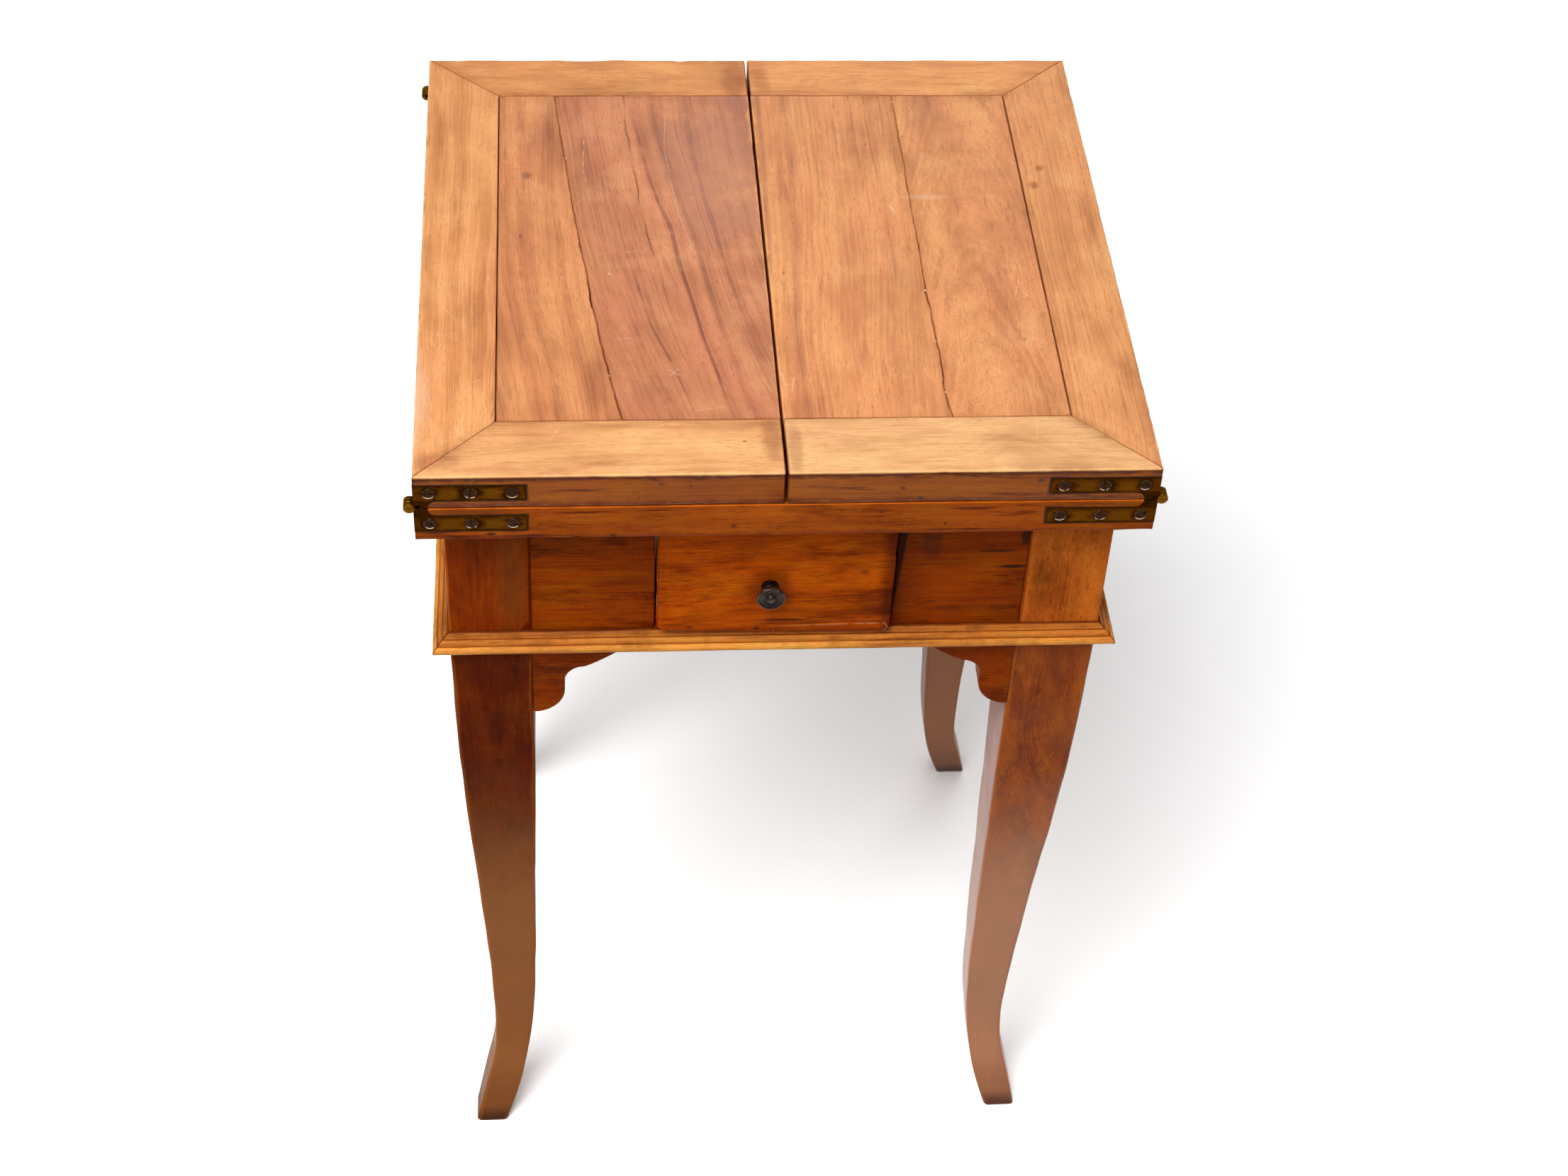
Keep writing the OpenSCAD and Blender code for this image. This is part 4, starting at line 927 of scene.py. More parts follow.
def drawer_marks(t, colour):
    """Darker down the drawer front's right edge, along its lower edge and round the knob, dark spots, and
    painted highlights along its lower rims.
    """
    x, _, z = t.split(t.at)
    ragged = t.centred(t.cloud, 22 * MM)
    right = t.step(t.add(x, ragged), DRAWER[1][0] - 14 * MM, DRAWER[1][0] - 3 * MM)
    foot = t.step(t.add(z, t.product(ragged, 0.5)), DRAWER[0][2] + 9 * MM, DRAWER[0][2] + 2 * MM)
    knob = t.step(t.add(t.vector("DISTANCE", t.at, KNOB_CENTRE), ragged), 21 * MM, 9 * MM)
    dirt = t.larger(t.product(right, 0.75), t.larger(t.product(foot, 0.5), t.product(knob, 0.6)))
    colour = t.tinted(colour, (0.26, 0.15, 0.09), dirt)
    colour = spots(t, colour, (0.035, 0.010, 0.004), DRAWER_SPOTS, DRAWER[0][1])
    # The pale lines along the lower rims are painted highlights.
    return pale_lines(t, colour, DRAWER_RIM_HIGHLIGHTS, (0.56, 0.27, 0.17), True, 0.8)


def moulding_marks(t, colour):
    """Darker on the flat ledge over the beads, and an upper bead that is browner than the lower one."""
    height = t.split(t.at)[2]
    bent = t.add(height, t.centred(t.cloud, 2.5 * MM))
    crest = LEG_H - HANG + 2 * TORUS_R
    colour = t.tinted(colour, (0.74, 0.58, 0.46), t.step(height, crest - 0.2 * MM, crest + QUIRK), 0.8)
    flat = crest + 2 * QUIRK + BEAD_R
    colour = t.tinted(colour, (0.50, 0.34, 0.20), t.step(bent, flat - 0.2 * MM, flat + 1.0 * MM), 0.5)
    return t.tinted(colour, (0.50, 0.34, 0.22), t.streak, 0.4)


def leg_marks(t, colour):
    """Dark dirt on the feet, and legs painted paler towards the floor, a painted reflection of the pale
    floor, which is lighter on the right legs than on the left as painted light.
    """
    x, _, height = t.split(t.at)
    # Paler towards the floor: a painted reflection of the pale floor, lighter still on the right legs as
    # painted light.
    painted_floor_sheen = t.step(t.add(height, t.centred(t.cloud, 90 * MM)), 450 * MM, 235 * MM)
    pale = t.mix(t.step(x, -0.1, 0.1), (0.53, 0.20, 0.064), (0.77, 0.365, 0.205))
    colour = t.painted(colour, pale, painted_floor_sheen, 0.75)
    low = t.step(t.add(height, t.product(t.cloud, 30 * MM)), 95 * MM, 25 * MM)
    colour = t.tinted(colour, (0.50, 0.38, 0.30), low, 0.55)
    foot = t.step(t.add(height, t.product(t.cloud, 12 * MM)), 26 * MM, 10 * MM)
    return t.painted(colour, (0.06, 0.025, 0.015), foot, 0.8)


def at_screws(t, place):
    """Where a point lies on its strap: from the table's side, beside the nearest screw, above the strap's
    middle as seen from the fold, and upwards from there."""
    x, _, z = t.split(place)
    from_end = t.less(HALF_X, t.size(x))
    to_screw = t.math("WRAP", t.less(from_end, SCREW_FIRST), SCREW_STEP / 2, -SCREW_STEP / 2)
    rise = t.less(z, AXIS_Z)
    off = t.less(t.size(rise), STRAP_MIDDLE)
    return from_end, to_screw, off, t.product(off, t.math("SIGN", rise))


def brass(name, patina, bright, bare=0.35, plate=False):
    """Old brass: brown tarnish, rubbed bright where drawn-out noise and worn edges let the metal through. A
    plate is golden between its screws, a little below each strap's middle, which is partly rubbed brass and
    partly a painted reflection, and dark with dirt round the screws and along its rims."""
    t = Finish(name)
    place = t.place()
    cloud = t.noise(place, (90, 90, 90), 4, 0.65)
    fine = t.noise(place, (700, 700, 700), 3, 0.6)
    smear = t.noise(place, (70, 420, 420), 4, 0.7)
    worn = t.product(t.attribute("worn", "Fac"), bare * 0.3)
    rub = t.step(t.add(smear, worn), 0.60, 0.80)
    colour = t.mix(t.step(cloud, 0.35, 0.65), patina, shade(patina, 1.9, 1.2))
    colour = t.painted(colour, bright, rub, bare)
    if plate:
        from_end, to_screw, off, up = at_screws(t, place)
        uneven = t.centred(cloud, 12 * MM)
        ring = t.add(t.vector("LENGTH", t.joined(to_screw, 0.0, off)), uneven)
        # The golden band between the screws is partly rubbed brass and partly a painted reflection.
        clear = t.product(t.step(ring, 5.5 * MM, 10 * MM), t.step(from_end, 7 * MM, 18 * MM))
        middle = t.step(t.size(t.add(up, 0.8 * MM)), 6 * MM, 2.5 * MM)
        colour = t.painted(colour, bright, clear, middle, 0.75)
        inside = t.math("MINIMUM", t.less(STRAP_W / 2, t.size(off)), t.less(STRAP_L, from_end))
        rim = t.step(t.add(inside, t.product(uneven, 0.3)), 2.2 * MM, 0.5 * MM)
        dirt = t.larger(t.step(ring, 6.2 * MM, 4.8 * MM), rim)
        colour = t.painted(colour, (0.012, 0.004, 0.0006), dirt, 0.7)
    rough = t.less(0.55, t.product(rub, 0.25))
    height = t.add(t.product(fine, 0.5), cloud)
    return t.close(colour, rough, height, 0.15 * MM, Metallic=1.0, Specular_Tint=(0.8, 0.5, 0.25, 1.0))


def screw_brass(name, dark, pale):
    """Screws: dark heads, partly dirt and partly painted shade for the dark surroundings that they reflect,
    whose slots and rims are rubbed, and a painted highlight, a pale crescent, on their lower rims.
    """
    t = Finish(name)
    place = t.place()
    cloud = t.noise(place, (420, 420, 420), 3, 0.6)
    _, to_screw, off, up = at_screws(t, place)
    ring = t.vector("LENGTH", t.joined(to_screw, 0.0, off))
    rim = t.step(ring, SCREW_R - 1.1 * MM, SCREW_R - 0.5 * MM)
    low = t.step(t.math("DIVIDE", up, SCREW_R), -0.40, -0.80)
    colour = t.mix(t.step(cloud, 0.40, 0.62), dark, shade(dark, 1.7, 1.1))
    slot = t.step(t.attribute("worn", "Fac"), 0.988, 0.998)
    colour = t.painted(colour, pale, t.larger(slot, rim), t.step(cloud, 0.42, 0.60, 0.02, 0.09))
    # A painted highlight: a pale crescent on the lower part of each head's rim.
    colour = t.painted(colour, (0.46, 0.38, 0.30), rim, low, t.step(cloud, 0.36, 0.48))
    return t.close(colour, t.step(cloud, 0.3, 0.7, 0.22, 0.40), cloud, 0.05 * MM, Metallic=1.0)


def dust(name):
    """Pale filler with grey dirt on it."""
    t = Finish(name)
    cloud = t.noise(t.place(), (900, 900, 900), 3, 0.6)
    return t.close(t.mix(cloud, (0.88, 0.84, 0.80), (0.55, 0.50, 0.46)), 0.9, cloud, 0.1 * MM)


def bronze(name, colour, bright):
    """Dark bronzed metal, rubbed brown on its rims, where the lighter brown is also a painted highlight."""
    t = Finish(name)
    cloud = t.noise(t.place(), (260, 260, 260), 4, 0.6)
    worn = t.attribute("worn", "Fac")
    result = t.mix(t.step(cloud, 0.4, 0.7), colour, shade(colour, 1.6, 1.2))
    result = t.painted(result, bright, worn, worn, t.step(cloud, 0.30, 0.6), 0.9)
    rough = t.step(cloud, 0.3, 0.7, 0.24, 0.42)
    return t.close(result, rough, cloud, 0.08 * MM, Metallic=0.85)


def floor_finish(name):
    """Pale floor. The camera and reflections see it a little brighter than the light that it sends on."""
    t = Finish(name)
    shader = t.node("ShaderNodeBsdfDiffuse", [t.mix(t.seen(), (0.42, 0.42, 0.42), (2.0, 2.0, 2.0))])
    t.node("ShaderNodeOutputMaterial", [shader.outputs[0]])
    return t.material


# Operators


def finish_named(name):
    return bpy.data.materials[name]


# What the finishes of like pieces have in common
PANEL = dict(ring=11 * MM, wear=0.5, grime=0.5, speck=0.4, fleck=0.5)
FRIEZE = dict(patch_depth=0.8, fibre_depth=0.9, specular=0.03, scratch=0.25,
              wear_reach=(0.3 * MM, 1.5 * MM), rub=(1.3, 1.0))
LINING = dict(ring=4 * MM, ring_depth=0.35, scratch=0.2, fleck=0.3, rough=0.6, specular=0.2)
# Where the left boards are striped: the middle of that place and its size
STRIPE_AT = ((-58 * MM, 0.0, LEAF_Z[1]), (46 * MM, 240 * MM, 1.0))


class MakeFinishes(bpy.types.Operator):
    """Makes the wood and metal materials from the settings, and the pale dust"""

    bl_idname = "side_table.make_finishes"
    bl_label = "Finishes"

    def execute(self, context):
        top, body = context.scene.table_top, context.scene.table_frame
        drawer, metal = context.scene.table_drawer, context.scene.table_metal
        wood("border wood", top.border, border_marks, ring_depth=0.25, line_depth=0.25, fibre_depth=0.38,
             patch_depth=0.65, pore_depth=0.5, fleck=0.9, speck=0.3, streak=0.35, specular=0.15,
             wear_from=LEAF_Z[1])
        wood("left panel wood", top.left_panel, left_panel_marks, **PANEL, stripe=0.95, stripe_at=STRIPE_AT,
             patch_depth=0.7, haze=0.2, bend=12 * MM, hue=0.8, streak=0.35)
        wood("right panel wood", top.right_panel, right_panel_marks, **PANEL, stripe=0.5, ring_depth=0.25,
             patch_depth=0.65, haze=0.15, bend=10 * MM, hue=0.7, streak=0.4)
        # The bed's narrow, lighter upper arrises are partly worn wood and partly a painted highlight.
        wood("bed wood", top.bed, bed_marks, olive=0.5, ring=8 * MM, fibre_depth=0.8, fleck=0.9, streak=0.6,
             soot=0.5, dash=0.6, grime=0.75, specular=0.05, wear=0.7, wear_reach=(0.3 * MM, 1.3 * MM),
             rub=(1.9, 1.0))
        wood("rail wood", body.rails, rail_marks, **FRIEZE, olive=0.8, ring=8 * MM, streak=0.6, soot=0.8,
             dash=0.6, wear=0.4)
        wood("post wood", body.posts, post_marks, **FRIEZE, olive=0.5, streak=0.5, soot=0.45, dash=0.5,
             wear=0.3)
        for side, specular, sheen in (("left", 0.02, 0.06), ("right", 0.06, 0.75)):
            wood(side + " leg wood", body.legs, leg_marks, olive=0.5, ring=12 * MM, patch_depth=1.1,
                 fibre_depth=1.0, scratch=0.3, streak=0.5, soot=0.45, dash=0.5, rough=0.36, wear=0.22,
                 wear_reach=(0.3 * MM, 2.0 * MM), specular=specular, sheen=sheen)
        wood("moulding wood", body.moulding, moulding_marks, ring=6 * MM, specular=0.12, grime=0.95,
             wear=0.6, soot=0.4, dash=0.5, rub=(1.2, 1.0))
        wood("drawer wood", drawer.front, drawer_marks, olive=0.8, ring_depth=0.35, fibre_depth=1.2,
             patch_depth=1.2, scratch=0.5, fleck=1.0, streak=0.6, soot=0.55, dash=0.7, speck=0.35,
             specular=0.03, wear_reach=(0.4 * MM, 2.0 * MM), rub=(1.5, 1.2))
        wood("lining wood", drawer.lining, **LINING, wear=0.2)
        wood("hidden wood", drawer.lining, **LINING, wear=0.0, grime=0.0, source="object")
        brass("hinge brass", metal.patina, metal.brass, plate=True)
        screw_brass("screw brass", metal.screw, (0.34, 0.22, 0.13))
        brass("worn brass", shade(metal.patina, 1.8, 0.6), shade(metal.brass, 1.8, 0.6), 0.6)
        dust("dust")
        bronze("knob bronze", metal.knob, (0.30, 0.18, 0.12))
        bronze("steel", (0.20, 0.19, 0.17), (0.45, 0.43, 0.40))
        return {"FINISHED"}


def down_joint(v):
    """Points along a joint between boards: the share v of the way from the panel's front, as a length."""
    return np.concatenate([np.clip(v, 0, 1) * (PANEL_BACK - PANEL_FRONT), 0 * v, 0 * v], 1)


def joint_line(front, back, bow, kink=0.0, seed=0):
    """Sideways place of a joint between two boards: its front and back ends and a bend, which is a bow of
    half a sine wave that leans to the front, a step near the front, and fine ragged noise."""
    def bend(v):
        v = np.clip(v, 0, 1)
        ends = np.minimum(1, 12 * v * (1 - v))
        coarse = 0.28 * ripple(down_joint(v), 34 * MM, seed)
        ragged = (coarse + 0.22 * ripple(down_joint(v), 9 * MM, seed + 1))[:, None]
        step = kink * smooth(v, 0.13, 0.07) * smooth(v, 0.0, 0.04)
        return bow * np.sin(math.pi * v**0.75) + step + ragged * ends * MM
    return front, back, bend


LEFT_JOINT = joint_line(-107.9 * MM, -150.0 * MM, -4.0 * MM, seed=5)
RIGHT_JOINT = joint_line(111.6 * MM, 105.6 * MM, -1.6 * MM, -1.3 * MM, seed=8)
BOARD_GAP = 0.9 * MM
SPLIT_WIDTH = 0.8 * MM


def gap_beside(bend, side, seed):
    """The bend of one of the two edges at a joint. Half of the gap's width is taken off it: a share of
    the board gap that falls towards the back and rises and falls with smooth noise."""
    def change(v):
        uneven = 0.45 + 0.35 * ripple(down_joint(v), 26 * MM, seed)
        uneven = (uneven + 0.3 * ripple(down_joint(v), 7 * MM, seed + 1))[:, None]
        share = np.clip(uneven, 0.12, 1.2) * (1 - 0.7 * smooth(v, 0.42, 0.78))
        return bend(v) + side * BOARD_GAP / 2 * share
    return change


def split_path(v):
    """The left board's crack leaves its straight row by a parabola and three small waves."""
    waves = 0.5 * np.sin(19 * v) + 0.35 * np.sin(47 * v) + 0.2 * np.sin(113 * v)
    return (-6.3 + 38 * (0.85 - v)**2 + waves) * MM


def split_depth(v):
    """It is deepest near the back and fades out a third of the way from the front."""
    return 1.3 * MM * smooth(v, 0.22, 0.55) * (0.55 + 0.45 * np.sin(37 * v + 1))


# How unevenly a border's outer, inner and end edges have worn
OUTER_CHIPS = (1.2, 0.8, 0.8, 0.8)
# The faces of a border that can be touched: the outer side, the bottom and the top
BORDER_FACES = (1, 0, 0, 0, 1, 1)
# The outline of the top's wood, and the clearance of the boards between the borders
OUT_X, OUT_Y = HALF_X - BRASS_PROUD, HALF_Y - BRASS_PROUD
SIDE_GAP, END_GAP = 0.6 * MM, 0.15 * MM

# How each border's colour departs from the middle one
BORDER_TINTS = {"left": (1.0, 1.0, 1.0), "right": (0.99, 0.99, 1.02), "left_front": (1.02, 1.16, 1.26),
                "right_front": (1.06, 1.32, 1.55), "left_back": (0.97, 0.95, 0.90),
                "right_back": (1.03, 1.01, 0.99)}


def side_border(sign, levels, low, high, tight, seed):
    """A mitred border at the left or the right, with the radii of its outer lower and upper edge."""
    corners = [[(sign * OUT_X, -OUT_Y), (sign * OUT_X, OUT_Y)],
               [(sign * PANEL_X, PANEL_FRONT), (sign * PANEL_X, PANEL_BACK)]]
    return slab(corners, levels, [[low] + [tight] * 3, [high] + [tight] * 3], BORDER_FACES, BOARD_STEP,
                chips=OUTER_CHIPS, seed=seed)


def end_border(back, start, end, levels, low, high, tight, last, seed):
    """A border at the front or the back. start and end are the outer and the inner place along it at its
    two ends, and last is the radius of its edges at the second one."""
    y, line = (OUT_Y, PANEL_BACK) if back else (-OUT_Y, PANEL_FRONT)
    corners = [[(start[0], y), (end[0], y)], [(start[1], line), (end[1], line)]]
    return slab(corners, levels, [[low, tight, tight, last], [high, tight, tight, last]], BORDER_FACES,
                BOARD_STEP, chips=OUTER_CHIPS, seed=seed)


class MakeLeaves(bpy.types.Operator):
    """Makes the borders and boards of the two folding leaves"""

    bl_idname = "side_table.make_leaves"
    bl_label = "Leaves"

    def execute(self, context):
        top = context.scene.table_top
        worn, fold, tight, seam = top.arris, top.fold_arris, top.joint_arris, top.seam_arris
        border = finish_named("border wood")
        for side, sign, edge in (("left", -1, SEAM_LEFT), ("right", 1, SEAM_RIGHT)):
            body = side + "_leaf"
            stile = side_border(sign, LEAF_Z, 1 * MM, worn, tight, 11 + sign)
            grown(stile, 1, 21 + sign, tint=BORDER_TINTS[side])
            new_piece(body + "_border_side", [(stile, border)], body, "top_border", body + "_stile")
            for back, (end, number) in enumerate((("front", 31), ("back", 41))):
                rail = end_border(back, (sign * OUT_X, sign * PANEL_X), (edge, edge), LEAF_Z, fold, worn,
                                  tight, seam, number + sign)
                grown(rail, 0, number + 7 * sign, tint=BORDER_TINTS[side + "_" + end])
                new_piece(f"{body}_border_{end}", [(rail, border)], body, "top_border", f"{body}_{end}_rail")
        self.boards("left", -1, LEFT_JOINT, SEAM_LEFT, tight, seam)
        self.boards("right", 1, RIGHT_JOINT, SEAM_RIGHT, tight, seam)
        return {"FINISHED"}

    def boards(self, side, sign, joint, seam_x, tight, seam):
        """The outer board, between the side border and the joint, and the inner one up to the seam."""
        front, back, bend = joint
        body = side + "_leaf"
        material = finish_named(side + " panel wood")
        edge = sign * (PANEL_X - SIDE_GAP)
        low, high = PANEL_FRONT + END_GAP, PANEL_BACK - END_GAP
        outer = slab([[(edge, low), (edge, high)], [(front, low), (back, high)]], LEAF_Z,
                     [[SIDE_GAP, tight, tight, tight]] * 2, (0, 0, 0, 0, 1, 1), BOARD_STEP,
                     bends=(None, gap_beside(bend, sign, 7)), chips=(0.8, 2.5, 0.5, 0.5), seed=51 + sign)
        crack = dict(at=0.40, width=SPLIT_WIDTH, path=split_path, depth=split_depth) if sign < 0 else None
        inner = slab([[(front, low), (back, high)], [(seam_x, low), (seam_x, high)]], LEAF_Z,
                     [[tight, seam, tight, tight]] * 2, (0, 1, 0, 0, 1, 1), BOARD_STEP, crack=crack,
                     bends=(gap_beside(bend, -sign, 17), None), chips=(2.5, 1.0, 0.5, 0.5), seed=61 + sign)
        if side == "left":
            grown(outer, 1, 71, (0.03, -0.06), (60 * MM, 300 * MM), -0.20)
            grown(inner, 1, 72, (0.02, -0.16), (50 * MM, 260 * MM), -0.24, (0.88, 0.83, 1.0))
        else:
            grown(outer, 1, 73, (0.12, 0.02), (28 * MM, 6 * MM))
            grown(inner, 1, 74, (0.01, 0.03), (50 * MM, 210 * MM), 0.05)
        specks = [(self.speck(*place), finish_named("dust")) for place in DUST[side]]
        new_piece(body + "_board_outer", [(outer, material)] + specks, body, "top_panel",
                  body + "_outer_board")
        new_piece(body + "_board_inner", [(inner, material)], body, "top_panel", body + "_inner_board")

    def speck(self, x, y):
        """A small dome of filler in a joint: radii fall as the cosine and heights rise as the sine."""
        turn = np.radians([0, 20, 40, 60, 78, 88])
        profile = np.stack([1.1 * MM * np.cos(turn), 0.45 * MM * np.sin(turn)], 1)
        return turned(profile, (x * MM, y * MM, LEAF_Z[1] - 0.47 * MM), (0, 0, 1), 14)


class MakeBed(bpy.types.Operator):
    """Makes the fixed bed under the leaves"""

    bl_idname = "side_table.make_bed"
    bl_label = "Bed"

    def execute(self, context):
        top = context.scene.table_top
        worn, tight = top.arris, top.joint_arris
        material = finish_named("bed wood")
        for side, sign in (("left", -1), ("right", 1)):
            stile = side_border(sign, BED_Z, worn, 1 * MM, tight, 81 + sign)
            grown(stile, 1, 81 + sign)
            new_piece("bed_border_" + side, [(stile, material)], "frame", "fixed_top", "bed_stile_" + side)
        for back, end in enumerate(("front", "back")):
            seed = 91 + len(end)
            rail = end_border(back, (-OUT_X, -PANEL_X), (OUT_X, PANEL_X), BED_Z, worn, top.bed_arris, tight,
                              tight, seed)
            grown(rail, 0, seed)
            new_piece("bed_border_" + end, [(rail, material)], "frame", "fixed_top", "bed_rail_" + end)
        third = PANEL_X / 3
        spans = (("left", -PANEL_X, -third - BOARD_GAP), ("middle", -third, third),
                 ("right", third + BOARD_GAP, PANEL_X))
        for number, (name, x0, x1) in enumerate(spans):
            board = plank((x0, PANEL_FRONT, BED_Z[0]), (x1, PANEL_BACK, BED_Z[1]), tight,
                          (0, 0, 0, 0, 1, 1), 1, seed=101 + number)
            new_piece(f"bed_panel_{name}", [(board, material)], "frame", "fixed_top", "bed_board_" + name)
        return {"FINISHED"}


# A leg's outer and inner outline, as heights in shares of its free height and places in shares of its post
LEG_HEIGHTS = (0, 0.06, 0.12, 0.18, 0.25, 0.35, 0.5, 0.65, 0.8, 1)
LEG_OUTER = (0, 0.14, 0.28, 0.33, 0.32, 0.28, 0.2, 0.105, 0.035, 0)
LEG_INNER = (0.44, 0.63, 0.765, 0.84, 0.89, 0.925, 0.95, 0.98, 1, 1)
# How the colours of the free leg and of its post depart from the middle ones: painted light and shade, the
# left legs and posts darker and the right ones lighter, as if more light fell on the right
LEG_LIGHT_AND_SHADE_TINTS = {"left": ((0.39, 0.20, 0.03), (0.53, 0.29, 0.03)),
             "right": ((1.06, 0.88, 0.5), (1.29, 1.31, 1.55))}
# How far the legs' grain leans from their length, sideways and to the front
LEG_LEANS = {"left": (0.012, 0.02), "right": (0.05, 0.22)}
# The rows of points up the free leg and up its post, and the points on a row's sides and corners
LEG_ROWS, POST_ROWS, SIDE_POINTS, CORNER_POINTS = 92, 14, 9, 5
# The foot's rim: the heights of its rows, the last of which ends it, and how far it is drawn in
FOOT_RIM, FOOT_DRAW = np.array([0, 0.4, 1.2, 2.5]) * MM, 1.2 * MM


def through(places, values, at):
    """Cubic curve through values at places, with each slope taken from its two neighbours."""
    places, values = np.array(places), np.array(values)
    before = np.maximum(np.arange(len(places)) - 1, 0)
    after = np.minimum(np.arange(len(places)) + 1, len(places) - 1)
    slope = (values[after] - values[before]) / (places[after] - places[before])
    k = np.clip(np.searchsorted(places, at, side="right") - 1, 0, len(places) - 2)
    h = places[k + 1] - places[k]
    s = (at - places[k]) / h
    return ((2 * s**3 - 3 * s**2 + 1) * values[k] + (s**3 - 2 * s**2 + s) * h * slope[k]
            + (3 * s**2 - 2 * s**3) * values[k + 1] + (s**3 - s**2) * h * slope[k + 1])


def square_section():
    """Directions of a rounded square: for each point, its place on the inner square and its unit
    direction from there, and how far along its side it lies from the nearer corner, as a share."""
    inner, unit, along = [], [], []
    for quarter in range(4):
        turn = quarter * 90
        c, s = round(math.cos(math.radians(turn))), round(math.sin(math.radians(turn)))
        spin = np.array([[c, -s], [s, c]])
        side = np.linspace(-1, 1, SIDE_POINTS)[1:-1]
        flat = np.stack([np.ones_like(side), side], 1) @ spin.T
        corner = arc((0, 0), 1, turn, turn + 90, CORNER_POINTS)
        inner += flat.tolist() + np.tile(spin @ (1, 1), (CORNER_POINTS, 1)).tolist()
        unit += np.tile(spin @ (1, 0), (len(side), 1)).tolist() + corner.tolist()
        along += (1 - np.abs(side)).tolist() + [0.0] * CORNER_POINTS
    return np.array(inner), np.array(unit), np.array(along)


def leg(right, back, leg_arris, post_arris, seed):
    """A leg sawn from two sides. At each height its section is a rounded square between the outer and
    the inner outline, both taken from the same cubic curves in X and in Y. The foot's rim is rounded."""
    free = np.linspace(5 * MM, LEG_H - 1 * MM, LEG_ROWS)
    post = np.linspace(LEG_H + 1 * MM, BED_Z[0], POST_ROWS)
    z = np.concatenate([FOOT_RIM, free, post])
    share = np.clip(z / LEG_H, 0, 1)
    outer = POST_W * through(LEG_HEIGHTS, LEG_OUTER, share)
    inner = POST_W * np.minimum(1, through(LEG_HEIGHTS, LEG_INNER, share))
    draw = FOOT_DRAW * np.clip(1 - z / FOOT_RIM[-1], 0, 1) ** 2
    half, middle = (inner - outer) / 2 - draw, (inner + outer) / 2
    radius = np.where(z < LEG_H, leg_arris, post_arris) * (1 + 0.25 * np.sin(z * 61 + seed))
    place, unit, along = square_section()
    points = np.empty((len(z), len(place), 3))
    points[:, :, :2] = (middle[:, None, None] + (half - radius)[:, None, None] * place
                        + radius[:, None, None] * unit)
    points[:, :, 2] = z[:, None]
    flat = points.reshape(-1, 3)
    bump = 0.25 * MM * ripple(flat, 60 * MM, seed)
    flat[:, :2] += np.tile(unit, (len(z), 1)) * (bump * (flat[:, 2] < LEG_H))[:, None]
    gap = (along[None] * half[:, None]).ravel()
    inside = (np.tile(place.min(1) > -0.99, (len(z), 1)) & (z[:, None] > LEG_H)).ravel()
    joined = (np.tile(place.max(1) > 0.5, (len(z), 1)) & (z[:, None] > LEG_H)).ravel()
    worn = np.where(joined, REACH, gap)
    joint = np.where(joined & ~inside, gap, REACH)
    at_moulding = np.minimum(np.abs(flat[:, 2] - LEG_H + HANG), np.abs(flat[:, 2] - MOULDING_TOP))
    joint = np.minimum(joint, at_moulding)
    quads, caps = tube_faces(len(z), len(place))
    x = (-FRAME_X + flat[:, 0]) * (-1 if right else 1)
    y = (-FRAME_Y + flat[:, 1]) * (-1 if back else 1)
    shape = Shape(np.stack([x, y, flat[:, 2]], 1), quads, caps, worn=close_to(worn), joint=close_to(joint))
    side = "right" if right else "left"
    grown(shape, 2, seed, LEG_LEANS[side])
    # The tint is painted light and shade: darker on the left legs, lighter on the right ones.
    shape.attributes["tint"] = np.where(flat[:, 2:] < LEG_H, *LEG_LIGHT_AND_SHADE_TINTS[side])
    return shape


class MakeLegs(bpy.types.Operator):
    """Makes the four curved legs"""

    bl_idname = "side_table.make_legs"
    bl_label = "Legs"

    def execute(self, context):
        body = context.scene.table_frame
        for back, end in enumerate(("front", "back")):
            for right, side in enumerate(("left", "right")):
                shape = leg(right, back, body.leg_arris, body.post_arris, 121 + 2 * back + right)
                material = finish_named(side + " leg wood")
                piece = new_piece(f"curved_leg_{end}_{side}", [(shape, material)], "frame", "frame_wood",
                                  f"leg_{end}_{side}")
                self.post(piece.data)
        return {"FINISHED"}

    def post(self, mesh):
        """Gives the part above the moulding's foot the duller finish of the frieze."""
        middles = np.empty(3 * len(mesh.polygons), np.float32)
        mesh.polygons.foreach_get("center", middles)
        mesh.materials.append(finish_named("post wood"))
        above = middles.reshape(-1, 3)[:, 2] > (LEG_H + MOULDING_TOP) / 2
        mesh.polygons.foreach_set("material_index", above.astype(np.int32))


